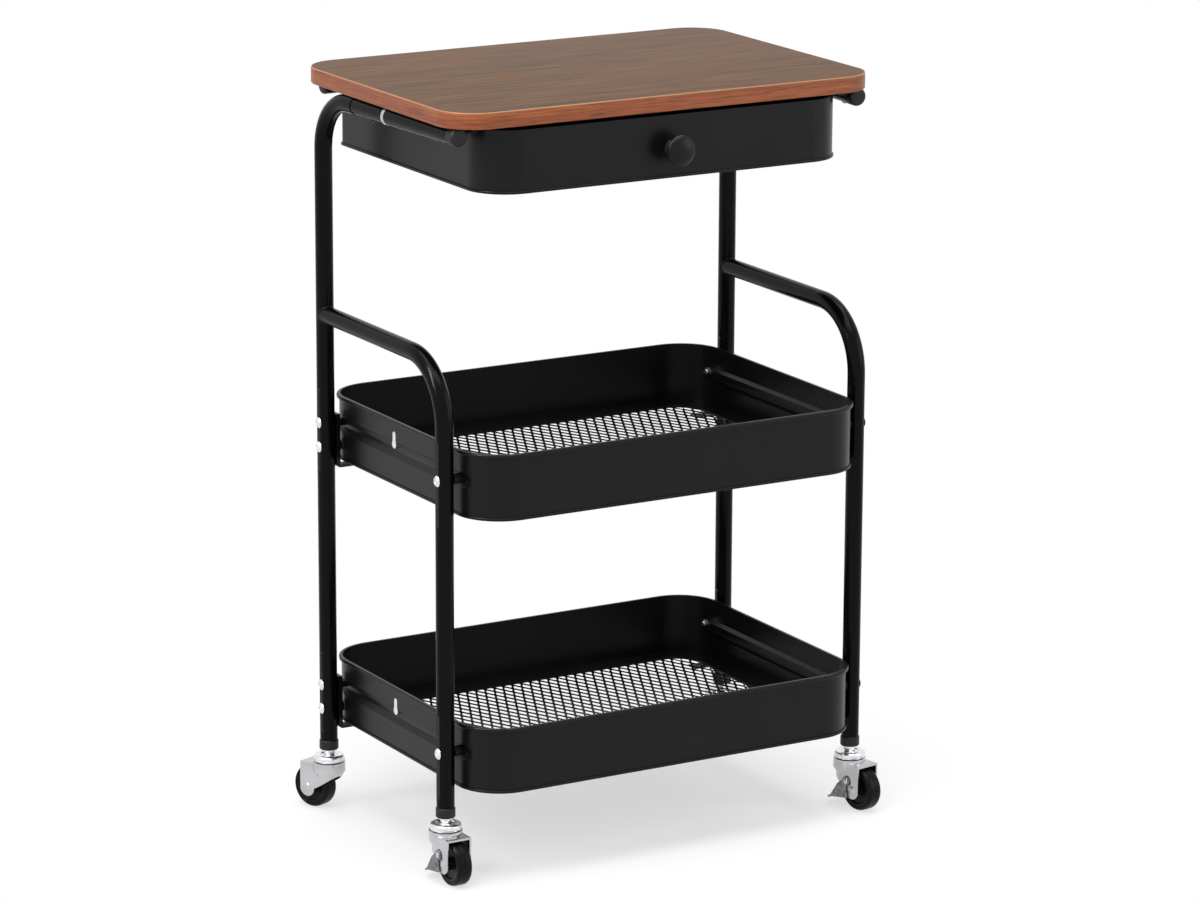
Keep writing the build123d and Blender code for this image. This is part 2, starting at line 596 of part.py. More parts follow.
def rear_bracket(side, z):
    """Bracket between a rear upright and a tray, with a tongue turned in under the tray."""
    wall = WALL_X + RIM_OUT
    low = z - BRACKET_DROP
    tongue = WALL_X - BRACKET_FOOT
    path = Polyline((SEAT_X, z + BRACKET_TOP_RISE), (SEAT_X, low), (tongue, low), (tongue, low + BRACKET_T),
                    (wall, low + BRACKET_T), (wall, z + BRACKET_TOP_RISE), close=True)
    strip = extrude(Plane.XZ * make_face(path), amount=BRACKET_W / 2, both=True)
    strip = fillet(strip.edges().filter_by(Axis.Y).group_by(Axis.Z)[0].sort_by(Axis.X)[-1], BRACKET_BEND)
    boss = Circle(SPACER_D / 2)
    high_boss = Pos(WALL_X - GROOVE_DEPTH, 0, z + REAR_SCREW_RISE) * extrude(
        Plane.YZ * boss, amount=wall - WALL_X + GROOVE_DEPTH)
    low_boss = Pos(WALL_X, 0, z + REAR_LOW_SCREW_RISE) * extrude(Plane.YZ * boss, amount=wall - WALL_X)
    depth = GROOVE_FLOOR_HIGH - GROOVE_FLOOR_LOW
    keep = Pos(0, 0, z + (GROOVE_FLOOR_HIGH + GROOVE_FLOOR_LOW) / 2) * Box(LEG_SPREAD, 2 * SPACER_D, depth)
    strip += (high_boss & keep) + low_boss
    tray_foot = Pos(0, 0, z) * Box(2 * (WALL_X + BEAD_OUT), OVERALL_DEPTH, 2 * BEAD_H)
    strip -= tray_foot & Pos(0, 0, z + BEAD_H) * Box(LEG_SPREAD, OVERALL_DEPTH, 2 * BEAD_H)
    for rise in (REAR_SCREW_RISE, REAR_LOW_SCREW_RISE):
        strip -= screw_hole(0, LEG_SPREAD, 0, z + rise, SCREW_D + 2 * FIXED_FIT)
    return Pos(0, REAR_LEG_Y, 0) * mirrored(strip, side)


# Drawer
def drawer_outline(shrink):
    """Plan of the drawer, with wide front corners and tight rear ones, drawn in by an amount."""
    depth = DRAWER_REAR_Y - DRAWER_FRONT_Y
    outline = Rectangle(DRAWER_W - 2 * shrink, depth - 2 * shrink)
    outline = fillet(outline.vertices().group_by(Axis.Y)[0], DRAWER_FRONT_CORNER - shrink)
    outline = fillet(outline.vertices().group_by(Axis.Y)[-1], DRAWER_REAR_CORNER - shrink)
    return Pos(0, (DRAWER_REAR_Y + DRAWER_FRONT_Y) / 2) * outline


def drawer_body():
    """Sheet walls with a turned-in top hem, a foot bead, a floor ledge and slide lips at the sides."""
    inside = drawer_outline(DRAWER_SHEET)
    walls = extrude(drawer_outline(0) - inside, amount=DRAWER_H)
    bead = extrude(drawer_outline(-BEAD_OUT), amount=BEAD_H)
    flats = bead.faces().sort_by(Axis.Z)
    bead = fillet(flats[-1].edges() + flats[0].edges(), BEAD_EDGE)
    walls += bead - extrude(inside, amount=BEAD_H)
    walls += extrude(inside - drawer_outline(DRAWER_SHEET + DRAWER_LEDGE), amount=DRAWER_SHEET)
    hem = extrude(inside - drawer_outline(DRAWER_SHEET + HEM_W), amount=DRAWER_SHEET)
    walls += Pos(0, 0, DRAWER_H - DRAWER_SHEET) * hem
    lip_front = DRAWER_FRONT_Y + DRAWER_FRONT_CORNER + SLIDE_LIP_INSET
    lip_rear = DRAWER_REAR_Y - DRAWER_REAR_CORNER
    lip = Rectangle(SLIDE_LIP_W + DRAWER_SHEET, lip_rear - lip_front)
    lip = extrude(lip, amount=DRAWER_SHEET)
    for side in SIDES.values():
        x = side * (DRAWER_W / 2 + (SLIDE_LIP_W - DRAWER_SHEET) / 2)
        walls += Pos(x, (lip_front + lip_rear) / 2, DRAWER_H - DRAWER_SHEET) * lip
    walls = Pos(0, 0, DRAWER_Z) * walls
    hole = rod(KNOB_SCREW_D + 2 * FIXED_FIT, 2 * OVERRUN, (0, 1, 0))
    return walls - Pos(0, DRAWER_FRONT_Y - OVERRUN, KNOB_Z) * hole


def drawer_floor():
    panel = extrude(drawer_outline(DRAWER_SHEET + SLIDING_FIT), amount=DRAWER_FLOOR_T)
    return Pos(0, 0, DRAWER_Z + DRAWER_SHEET) * panel


def drawer_knob():
    """Round mushroom knob on a flared stem, turned about Y."""
    neck = KNOB_LENGTH - KNOB_HEAD_L
    profile = turned((0, 0), (KNOB_FLARE_D / 2, 0), (KNOB_STEM_D / 2, KNOB_FLARE_L), (KNOB_STEM_D / 2, neck),
                     (KNOB_D / 2, neck + KNOB_EDGE), (KNOB_D / 2, KNOB_LENGTH - KNOB_EDGE - KNOB_CROWN),
                     (KNOB_D / 2 - KNOB_EDGE, KNOB_LENGTH - KNOB_CROWN), (0, KNOB_LENGTH))
    ridges = profile.edges().filter_by(GeomType.CIRCLE).group_by(SortBy.RADIUS)[-1]
    knob = fillet(ridges, KNOB_EDGE / 2)
    knob -= rod(KNOB_SCREW_D + 2 * FIXED_FIT, KNOB_SCREW_DEPTH, (0, 0, 1))
    return Pos(0, DRAWER_FRONT_Y, KNOB_Z) * Rot(90, 0, 0) * knob


def knob_screw():
    head = Rot(-90, 0, 0) * dome(2 * KNOB_SCREW_D, HEAD_H)
    length = KNOB_SCREW_DEPTH - FIXED_FIT + DRAWER_SHEET
    shank = rod(KNOB_SCREW_D, length, (0, -1, 0))
    return Pos(0, DRAWER_FRONT_Y + DRAWER_SHEET, KNOB_Z) * (head + shank)


# Runners, stops and rear bar under the worktop
def drawer_runner(side):
    """Folded Z rail: a flange screwed to the worktop, a web, and a ledge that carries the drawer's lip."""
    ledge_x = DRAWER_W / 2 + RUNNER_LEDGE_GAP
    outer = WEB_X + RUNNER_SHEET
    flange_x = outer + RUNNER_FLANGE
    flange_z = BOARD_UNDER - RUNNER_SHEET
    low = LEDGE_TOP - RUNNER_SHEET
    section = Polyline((ledge_x, LEDGE_TOP), (WEB_X, LEDGE_TOP), (WEB_X, BOARD_UNDER),
                       (flange_x, BOARD_UNDER), (flange_x, flange_z), (outer, flange_z), (outer, low),
                       (ledge_x, low), close=True)
    length = RUNNER_REAR_Y - RUNNER_FRONT_Y
    rail = Pos(0, RUNNER_REAR_Y, 0) * extrude(Plane.XZ * make_face(section), amount=length)
    rail = mirrored(rail, side)
    for x, y in runner_screw_places():
        rail -= Pos(x, y, LEDGE_TOP) * rod(RUNNER_SCREW_D + 2 * FIXED_FIT, BOARD_T, (0, 0, 1))
    return rail


def board_screw(x, y, seat):
    """A large screw that points up: its head under the seat, its tip inside the worktop."""
    head = Rot(180, 0, 0) * dome(BOARD_HEAD_D, BOARD_HEAD_H)
    shank = rod(BOARD_SCREW_D, BOARD_UNDER + BOARD_SCREW_DEPTH - seat, (0, 0, 1))
    return Pos(x, y, seat) * (head + shank)


def runner_screw(x, y, seat):
    """A small screw that points up into the worktop."""
    head = Rot(180, 0, 0) * dome(RUNNER_HEAD_D, RUNNER_HEAD_H)
    shank = rod(RUNNER_SCREW_D, BOARD_UNDER + RUNNER_SCREW_DEPTH - seat, (0, 0, 1))
    return Pos(x, y, seat) * (head + shank)


def drawer_stop(side):
    """Plastic block under the worktop that the drawer's rear wall meets when it is fully open."""
    block = extrude(Rectangle(STOP_W, STOP_L), amount=STOP_H)
    block = fillet(block.edges().filter_by(Axis.Z), STOP_EDGE)
    block -= rod(RUNNER_SCREW_D + 2 * FIXED_FIT, STOP_H, (0, 0, 1))
    block -= rod(RUNNER_HEAD_D + 2 * FIXED_FIT, RUNNER_HEAD_H + FIXED_FIT, (0, 0, 1))
    return Pos(side * STOP_X, stop_y(), BOARD_UNDER - STOP_H) * block


def rear_bar():
    """Round cross bar under the worktop's rear edge, drilled for its screws."""
    bar = Circle(BAR_D / 2) - Circle(BAR_D / 2 - TUBE_WALL)
    bar = extrude(Plane.YZ * bar, amount=BAR_LENGTH / 2, both=True)
    bar = Pos(0, BAR_Y, BAR_Z) * bar
    for side in SIDES.values():
        x = side * BAR_SCREW_X
        bar -= Pos(x, BAR_Y, BAR_Z - BAR_D) * rod(BOARD_SCREW_D + 2 * FIXED_FIT, 2 * BAR_D, (0, 0, 1))
        head_room = rod(BOARD_HEAD_D + 2 * FIXED_FIT, OVERRUN, (0, 0, 1))
        bar -= Pos(x, BAR_Y, BAR_Z - BAR_D / 2 + SEAT_FLAT_DEPTH - OVERRUN) * head_room
    return bar


def rear_bar_plug(side):
    """Rounded end plug of the cross bar."""
    head = rod(BAR_D, BAR_PLUG_L, (1, 0, 0))
    head = fillet(head.faces().sort_by(Axis.X)[-1].edges(), BAR_PLUG_L - BEAD_EDGE)
    plug = rod(BAR_D - 2 * (TUBE_WALL + FIXED_FIT), CAP_PLUG_LENGTH, (-1, 0, 0))
    return Pos(0, BAR_Y, BAR_Z) * mirrored(Pos(BAR_LENGTH / 2, 0, 0) * (head + plug), side)


def rear_strap(side):
    """Flat strap that hangs from the cross bar behind the drawer and turns in under it."""
    foot_top = DRAWER_Z - SLIDING_FIT
    front = BAR_Y - STRAP_FOOT
    outline = Polyline((BAR_Y, BAR_Z), (BAR_Y, foot_top), (front, foot_top), (front, foot_top - STRAP_T),
                       (BAR_Y + STRAP_T, foot_top - STRAP_T), (BAR_Y + STRAP_T, BAR_Z), close=True)
    strap = extrude(Plane.YZ * make_face(outline), amount=STRAP_W / 2, both=True)
    corner = strap.edges().filter_by(Axis.X).group_by(Axis.Z)[0].sort_by(Axis.Y)[-1]
    strap = Pos(side * STRAP_X, 0, 0) * fillet(corner, STRAP_BEND)
    return strap - Pos(-BAR_LENGTH / 2, BAR_Y, BAR_Z) * rod(BAR_D + 2 * FIXED_FIT, BAR_LENGTH, (1, 0, 0))


# Casters, each made with its wheel ahead of the swivel axis and then turned
def caster_places():
    for end, y in (("front", FRONT_LEG_Y), ("rear", REAR_LEG_Y)):
        for name, side in SIDES.items():
            yield f"{end}_{name}", side * LEG_X, y


def caster_stem(x, y):
    """Threaded stem, collar, dished bearing cup and the headed journal that carries the fork."""
    cup = CUP_D / 2
    top = CUP_Z + CUP_H
    low = KING_END - KING_HEAD_H
    stem_top = FOOT_HEIGHT + STEM_REACH
    collar = NECK_COLLAR_D / 2
    body = turned((0, low), (KING_HEAD_D / 2, low), (KING_HEAD_D / 2, KING_END), (KING_D / 2, KING_END),
                  (KING_D / 2, CUP_Z), (cup, CUP_Z), (cup, top - CUP_EDGE), (cup - CUP_EDGE, top),
                  (CUP_DISH_D / 2, top), (collar, top - CUP_DISH), (collar, FOOT_HEIGHT),
                  (STEM_D / 2, FOOT_HEIGHT), (STEM_D / 2, stem_top), (0, stem_top))
    return Pos(x, y, 0) * body


def fork_profile():
    """Side view of a fork leg in Y and Z: a straight front edge and a back edge that sweeps to the axle."""
    tip_back = -TRAIL + FORK_TIP_R
    tip_z = AXLE_Z
    with BuildSketch() as profile:
        with BuildLine():
            Polyline((tip_back, tip_z), (-FORK_FRONT, tip_z), (-FORK_FRONT, FORK_TOP), (FORK_BACK, FORK_TOP),
                     (FORK_BACK, FORK_TOP - FORK_SHOULDER))
            middle = ((FORK_BACK + tip_back) / 2 + FORK_EDGE / 2, (FORK_TOP - FORK_SHOULDER + tip_z) / 2)
            ThreePointArc((FORK_BACK, FORK_TOP - FORK_SHOULDER), middle, (tip_back, tip_z))
        make_face()
        with Locations((-TRAIL, AXLE_Z)):
            Circle(FORK_TIP_R)
    return profile.sketch


def caster_fork(brake):
    """Pressed fork: a round race and skirt round the swivel, flat legs ahead of it and a front plate."""
    legs = Pos(0, -FORK_FRONT / 2, 0) * extrude(Rectangle(2 * FORK_OUTER, FORK_FRONT), amount=FORK_PLATE_TOP)
    taper_z = SKIRT_Z - SKIRT_TAPER
    skirt = turned((0, taper_z), (FORK_OUTER, taper_z), (RACE_D / 2, SKIRT_Z), (RACE_D / 2, FORK_TOP),
                   (0, FORK_TOP))
    post = rod(2 * FORK_OUTER, SKIRT_Z, (0, 0, 1))
    side_view = extrude(Plane.YZ * fork_profile(), amount=RACE_D, both=True)
    fork = (legs + skirt + post) & side_view
    wheel_room = extrude(Rectangle(FORK_GAP, FORK_FRONT + OVERRUN), amount=FORK_UNDER)
    fork -= Pos(0, -(FORK_FRONT + OVERRUN) / 2, 0) * wheel_room
    fork -= rod(FORK_GAP, FORK_UNDER, (0, 0, 1))
    fork -= Pos(0, 0, FORK_UNDER) * rod(KING_POCKET_D, KING_END + KING_GAP - FORK_UNDER, (0, 0, 1))
    fork -= Pos(0, 0, FORK_UNDER) * rod(KING_D + 2 * RUNNING_FIT, FORK_TOP, (0, 0, 1))
    fork -= Pos(-FORK_OUTER, -TRAIL, AXLE_Z) * rod(AXLE_D + 2 * FIXED_FIT, 2 * FORK_OUTER, (1, 0, 0))
    if brake:
        pin = rod(PEDAL_PIN_D + 2 * FIXED_FIT, 2 * FORK_OUTER, (1, 0, 0))
        fork -= Pos(-FORK_OUTER, -PEDAL_PIVOT_FORWARD, PEDAL_PIVOT_Z) * pin
    return fork


def caster_axle():
    """Riveted axle with a domed head outside each leg."""
    head = Pos(FORK_OUTER, 0, 0) * Rot(0, 90, 0) * dome(RIVET_D, RIVET_H)
    axle = Pos(-FORK_OUTER, 0, 0) * rod(AXLE_D, 2 * FORK_OUTER, (1, 0, 0))
    return Pos(0, -TRAIL, AXLE_Z) * (axle + head + mirror(head, about=Plane.YZ))


def caster_wheel():
    """Moulded wheel with a rounded tread, dished sides and a long hub, turned about X."""
    half, rim = WHEEL_W / 2, WHEEL_D / 2
    hub = FORK_GAP / 2 - SLIDING_FIT
    dish = half - WHEEL_DISH
    bore = AXLE_D / 2 + RUNNING_FIT
    edge = WHEEL_TREAD_EDGE
    boss = WHEEL_HUB_D / 2
    rim_in = rim - WHEEL_RIM_W
    wheel = turned((bore, -hub), (boss, -hub), (boss, -dish), (rim_in - edge, -dish), (rim_in, -half),
                   (rim - edge, -half), (rim, edge - half), (rim, half - edge), (rim - edge, half),
                   (rim_in, half), (rim_in - edge, dish), (boss, dish), (boss, hub), (bore, hub))
    return Pos(0, -TRAIL, AXLE_Z) * Rot(0, 90, 0) * wheel


def pedal_cheek():
    """Side view of a pedal cheek in Y and Z: an eye at the pivot and a plate that spreads down to the toe."""
    eye = Pos(-PEDAL_PIVOT_FORWARD, PEDAL_PIVOT_Z) * Circle(PEDAL_EYE_R)
    arm = make_face(Polyline((-PEDAL_PIVOT_FORWARD, PEDAL_PIVOT_Z + PEDAL_EYE_R), (PEDAL_BACK, PEDAL_BACK_Z),
                             (PEDAL_TOE_BACK, PEDAL_TOE_Z), (-PEDAL_FRONT, PEDAL_FRONT_Z),
                             (-PEDAL_PIVOT_FORWARD, PEDAL_PIVOT_Z - PEDAL_EYE_R), close=True))
    return eye + arm


def brake_pedal():
    """Pressed lever: a cheek outside each fork leg, a bridge behind the wheel and a rounded toe."""
    cheeks = extrude(Plane.YZ * pedal_cheek(), amount=CHEEK_OUT, both=True)
    cheeks -= extrude(Plane.YZ * pedal_cheek(), amount=CHEEK_IN, both=True)
    top_y = PEDAL_TOE_BACK + (PEDAL_BACK - PEDAL_TOE_BACK) * PEDAL_BRIDGE_SHARE
    top_z = PEDAL_TOE_Z + (PEDAL_BACK_Z - PEDAL_TOE_Z) * PEDAL_BRIDGE_SHARE
    toe_in = PEDAL_TOE_BACK - 2 * PEDAL_T
    outline = Polyline((top_y, top_z), (PEDAL_TOE_BACK, PEDAL_TOE_Z), (toe_in, PEDAL_TOE_Z),
                       (top_y - PEDAL_T, top_z), close=True)
    lever = cheeks + extrude(Plane.YZ * make_face(outline), amount=CHEEK_OUT, both=True)
    toe = plate(2 * CHEEK_OUT, 2 * PEDAL_TOE_L, PEDAL_TOE_L - PEDAL_T)
    toe = extrude(toe, amount=PEDAL_T) & Pos(0, PEDAL_TOE_L, 0) * Box(2 * CHEEK_OUT, 2 * PEDAL_TOE_L, TUBE_D)
    tilt = -math.degrees(math.atan2(PEDAL_TOE_DROP, PEDAL_TOE_L))
    lever += Pos(0, PEDAL_TOE_BACK - PEDAL_T, PEDAL_TOE_Z - PEDAL_T / 2) * Rot(tilt, 0, 0) * toe
    pin = rod(PEDAL_PIN_D + 2 * RUNNING_FIT, 2 * CHEEK_OUT, (1, 0, 0))
    return lever - Pos(-CHEEK_OUT, -PEDAL_PIVOT_FORWARD, PEDAL_PIVOT_Z) * pin


def brake_pin(side):
    """Rivet through one fork leg and one pedal cheek, with a head outside the cheek."""
    inner = FORK_GAP / 2
    head_x = CHEEK_OUT + SLIDING_FIT
    pin = Pos(inner, 0, 0) * rod(PEDAL_PIN_D, head_x - inner, (1, 0, 0))
    pin += Pos(head_x, 0, 0) * Rot(0, 90, 0) * dome(PEDAL_PIN_HEAD_D, PEDAL_PIN_HEAD_H)
    return Pos(0, -PEDAL_PIVOT_FORWARD, PEDAL_PIVOT_Z) * mirrored(pin, side)


os.makedirs("parts", exist_ok=True)

save("worktop", worktop())
for name, side in SIDES.items():
    save(f"rear_upright_{name}", rear_upright(side))
    save(f"top_arm_{name}", top_arm(side))
    save(f"handle_leg_{name}", handle_leg(side))
    save(f"drawer_runner_{name}", drawer_runner(side))
save("arm_joint_rings", *[arm_ring(side) for side in SIDES.values()])
save("arm_end_caps", *[arm_cap(side) for side in SIDES.values()])
save("foot_inserts", *[foot_insert(x, y) for _, x, y in caster_places()])

screws, nuts = [], []
for name, z in TRAYS.items():
    save(f"{name}_tray", placed_tray(z))
    save(f"{name}_tray_mesh", mesh_floor(z))
    for side in SIDES.values():
        screws += [tray_screw(side, y, z + rise, NUT_FACE_X - NUT_H - TIP_H) for y, rise in NUTTED_SCREWS]
        screws.append(tray_screw(side, REAR_LEG_Y, z + REAR_LOW_SCREW_RISE, WALL_X))
        nuts += [tray_nut(side, y, z + rise) for y, rise in NUTTED_SCREWS]
save("tray_screws", *screws)
save("tray_nuts", *nuts)
save("tray_spacers", *[front_spacer(side, z) for z in TRAYS.values() for side in SIDES.values()])
save("tray_rear_brackets", *[rear_bracket(side, z) for z in TRAYS.values() for side in SIDES.values()])

save("drawer_body", drawer_body())
save("drawer_floor", drawer_floor())
save("drawer_knob", drawer_knob())
save("knob_screw", knob_screw())

save("drawer_stops", *[drawer_stop(side) for side in SIDES.values()])
save("rear_cross_bar", rear_bar())
save("rear_bar_plugs", *[rear_bar_plug(side) for side in SIDES.values()])
save("rear_straps", *[rear_strap(side) for side in SIDES.values()])
under_arm = ARM_Z - TUBE_R + SEAT_FLAT_DEPTH
under_bar = BAR_Z - BAR_D / 2 + SEAT_FLAT_DEPTH
worktop_screws = [board_screw(s * LEG_X, y, under_arm) for s in SIDES.values() for y in ARM_SCREW_YS]
worktop_screws += [board_screw(s * BAR_SCREW_X, BAR_Y, under_bar) for s in SIDES.values()]
save("worktop_screws", *worktop_screws)
stop_seat = BOARD_UNDER - STOP_H + RUNNER_HEAD_H
runner_screws = [runner_screw(x, y, BOARD_UNDER - RUNNER_SHEET) for x, y in runner_screw_places()]
runner_screws += [runner_screw(s * STOP_X, stop_y(), stop_seat) for s in SIDES.values()]
save("runner_screws", *runner_screws)

for place, x, y in caster_places():
    brake = place.startswith("front")
    at = Pos(x, y, 0) * Rot(0, 0, CASTER_TURNS[place])
    save(f"{place}_stem", caster_stem(x, y))
    save(f"{place}_fork", at * caster_fork(brake))
    save(f"{place}_axle", at * caster_axle())
    save(f"{place}_wheel", at * caster_wheel())
    if brake:
        save(f"{place}_brake_pedal", at * brake_pedal())
        save(f"{place}_brake_pins", *[at * brake_pin(side) for side in SIDES.values()])
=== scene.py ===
"""Kitchen trolley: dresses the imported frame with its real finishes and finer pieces."""

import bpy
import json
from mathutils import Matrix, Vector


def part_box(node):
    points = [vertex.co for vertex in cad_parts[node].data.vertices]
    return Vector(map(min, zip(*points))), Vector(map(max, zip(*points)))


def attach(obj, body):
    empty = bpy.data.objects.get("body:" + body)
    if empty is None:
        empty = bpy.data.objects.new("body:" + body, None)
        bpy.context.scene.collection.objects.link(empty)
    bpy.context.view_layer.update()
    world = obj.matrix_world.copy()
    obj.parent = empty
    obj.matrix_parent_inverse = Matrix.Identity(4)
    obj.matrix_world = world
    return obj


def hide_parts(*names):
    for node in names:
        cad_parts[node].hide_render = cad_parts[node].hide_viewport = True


bl_info = {
    "name": "Kitchen Trolley",
    "version": (1, 0, 0),
    "blender": (4, 5, 0),
    "location": "3D View > Sidebar > Trolley",
    "description": "Dresses a packed kitchen trolley with its board, mesh floors, screws, casters and studio",
    "category": "Object",
}

import json
import math

import bmesh
import bpy
from mathutils import Matrix, Vector

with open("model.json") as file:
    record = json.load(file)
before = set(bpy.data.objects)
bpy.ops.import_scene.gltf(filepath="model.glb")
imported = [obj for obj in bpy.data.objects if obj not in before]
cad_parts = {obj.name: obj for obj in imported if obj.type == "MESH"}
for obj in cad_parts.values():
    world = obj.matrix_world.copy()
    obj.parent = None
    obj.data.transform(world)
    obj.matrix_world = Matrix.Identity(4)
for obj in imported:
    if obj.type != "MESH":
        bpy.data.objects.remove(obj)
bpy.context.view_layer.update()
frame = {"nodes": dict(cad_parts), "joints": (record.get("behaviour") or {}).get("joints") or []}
NODES = frame["nodes"]
JOINTS = {joint["name"]: joint for joint in frame["joints"]}
PLACES = ("front_left", "front_right", "rear_left", "rear_right")
TRAYS = ("upper_tray", "lower_tray")
SIDES = {"left": -1, "right": 1}
MM = 0.001
# Points closer than these are one, in metres: in new meshes, in copies of CAD meshes and in the mesh floors
NEW_CLOSE = 1e-7
CAD_CLOSE = 2e-6
STRAND_CLOSE = 1e-5
# Degrees between faces past which an edge shows as sharp, and up to which two faces count as one
SHARP = 35
BOARD_SHARP = 15
EASED_SHARP = 40
FLAT = 0.5
# Depth of the fine relief on a finish, in metres
RELIEF = 0.0002


# Shader helpers
def linear(code):
    """An sRGB hex colour as the linear colour that a shader takes."""
    channels = [int(code[i : i + 2], 16) / 255 for i in (1, 3, 5)]
    return [c / 12.92 if c <= 0.04045 else ((c + 0.055) / 1.055) ** 2.4 for c in channels] + [1.0]


def node(tree, kind, inputs=(), **settings):
    """Adds a node with its settings; an input is given a value or another node's socket."""
    made = tree.nodes.new(kind)
    for key, value in settings.items():
        setattr(made, key, value)
    for key, value in dict(inputs).items():
        if isinstance(value, bpy.types.NodeSocket):
            tree.links.new(value, made.inputs[key])
        else:
            made.inputs[key].default_value = value
    return made


def maths(tree, operation, *values):
    """The result of one sum on numbers."""
    return node(tree, "ShaderNodeMath", dict(enumerate(values)), operation=operation).outputs[0]


def vectors(tree, operation, *values):
    """The result of one sum on vectors."""
    made = node(tree, "ShaderNodeVectorMath", dict(enumerate(values)), operation=operation)
    return made.outputs["Value" if operation == "LENGTH" else "Vector"]


def between(tree, factor, low, high):
    """A number that runs from low to high with a factor."""
    made = node(tree, "ShaderNodeMapRange", {"Value": factor, "To Min": low, "To Max": high})
    return made.outputs["Result"]


def blend(tree, factor, first, second):
    """Two colours mixed by a factor."""
    return node(tree, "ShaderNodeMix", {0: factor, 6: first, 7: second}, data_type="RGBA").outputs[2]


def ramp(tree, factor, *stops):
    """A colour ramp through pairs of place and hex colour."""
    made = node(tree, "ShaderNodeValToRGB", {"Fac": factor})
    elements = made.color_ramp.elements
    while len(elements) < len(stops):
        elements.new(0.5)
    for element, (place, code) in zip(elements, stops):
        element.position = place
        element.color = linear(code)
    return made.outputs["Color"]


def coordinates(tree, source="Object"):
    """The object's own coordinates, or its UV."""
    return node(tree, "ShaderNodeTexCoord").outputs[source]


def stretched(tree, size_mm, where=None):
    """Coordinates scaled so that one unit of pattern is size_mm long in X, Y and Z."""
    if where is None:
        where = coordinates(tree)
    scale = [1 / (size * MM) for size in size_mm]
    return node(tree, "ShaderNodeMapping", {"Vector": where, "Scale": scale}).outputs["Vector"]


def noise(tree, where, detail, roughness=0.5, out="Fac"):
    """A noise with features one unit of its coordinates long."""
    settings = {"Vector": where, "Scale": 1.0, "Detail": detail, "Roughness": roughness}
    return node(tree, "ShaderNodeTexNoise", settings).outputs[out]


def finish(name, colour, roughness, metallic=0.0, specular=0.5):
    """A new material with its shader's plain values set; returns it with its tree and shader."""
    material = bpy.data.materials.new(name)
    material.use_nodes = True
    tree = material.node_tree
    shader = tree.nodes["Principled BSDF"]
    shader.inputs["Base Color"].default_value = linear(colour)
    shader.inputs["Roughness"].default_value = roughness
    shader.inputs["Metallic"].default_value = metallic
    shader.inputs["Specular IOR Level"].default_value = specular
    return material, tree, shader


def cover(tree, shader, relief, strength, **sockets):
    """Wires a fine relief and the given sockets, named with underscores, into a shader."""
    bump = node(tree, "ShaderNodeBump", {"Height": relief, "Strength": strength, "Distance": RELIEF})
    tree.links.new(bump.outputs["Normal"], shader.inputs["Normal"])
    for label, value in sockets.items():
        tree.links.new(value, shader.inputs[label.replace("_", " ")])


def background(tree, lit):
    """Strength of the white background: 1 when seen or reflected, and lit as light on the trolley."""
    path = node(tree, "ShaderNodeLightPath").outputs
    seen = path["Is Camera Ray"]
    for ray in ("Is Glossy Ray", "Is Transmission Ray"):
        seen = maths(tree, "MAXIMUM", seen, path[ray])
    return between(tree, seen, lit, 1.0)


# Geometry helpers
def spaced(first, last, steps):
    """Evenly spaced values from first to last."""
    return [first + (last - first) * k / steps for k in range(steps + 1)]


def rounded(corners, steps=5):
    """A profile of (radius, height, easing) corners with each corner rounded by its easing."""
    profile = []
    for i, (r, h, ease) in enumerate(corners):
        here = Vector((r, h))
        if not ease:
            profile.append(here)
            continue
        before = here + (Vector(corners[i - 1][:2]) - here).normalized() * ease
        after = here + (Vector(corners[(i + 1) % len(corners)][:2]) - here).normalized() * ease
        for t in spaced(0, 1, steps):
            profile.append(before * (1 - t) ** 2 + here * 2 * t * (1 - t) + after * t**2)
    return profile


def lathe(profile, segments, closed=False):
    """A mesh turned about Z from a profile in millimetres; a closed profile makes a ring."""
    shape = bmesh.new()
    angles = spaced(0, 2 * math.pi, segments)[:-1]
    rings = []
    for r, h in profile:
        if r == 0:
            rings.append([shape.verts.new((0, 0, h * MM))] * segments)
        else:
            circle = [(r * MM * math.cos(a), r * MM * math.sin(a), h * MM) for a in angles]
            rings.append([shape.verts.new(point) for point in circle])
    pairs = list(zip(rings, rings[1:]))
    if closed:
        pairs.append((rings[-1], rings[0]))
    for low, high in pairs:
        for k in range(segments):
            n = (k + 1) % segments
            corners = list(dict.fromkeys((low[k], low[n], high[n], high[k])))
            if len(corners) > 2:
                shape.faces.new(corners)
    return shape


def prism(outline, run):
    """A mesh swept from an outline of points along a vector."""
    shape = bmesh.new()
    face = shape.faces.new([shape.verts.new(point) for point in outline])
    swept = bmesh.ops.extrude_face_region(shape, geom=[face])["geom"]
    ends = [part for part in swept if isinstance(part, bmesh.types.BMVert)]
    bmesh.ops.translate(shape, verts=ends, vec=run)
    return shape


def loop_points(half_x, half_y, corner, steps=24):
    """Points round a rounded rectangle about the origin, anticlockwise from the right-hand side."""
    points = []
    for quarter, (sx, sy) in enumerate(((1, 1), (-1, 1), (-1, -1), (1, -1))):
        for angle in spaced(quarter * math.pi / 2, (quarter + 1) * math.pi / 2, steps):
            x = sx * (half_x - corner) + corner * math.cos(angle)
            y = sy * (half_y - corner) + corner * math.sin(angle)
            points.append((x, y))
    return points


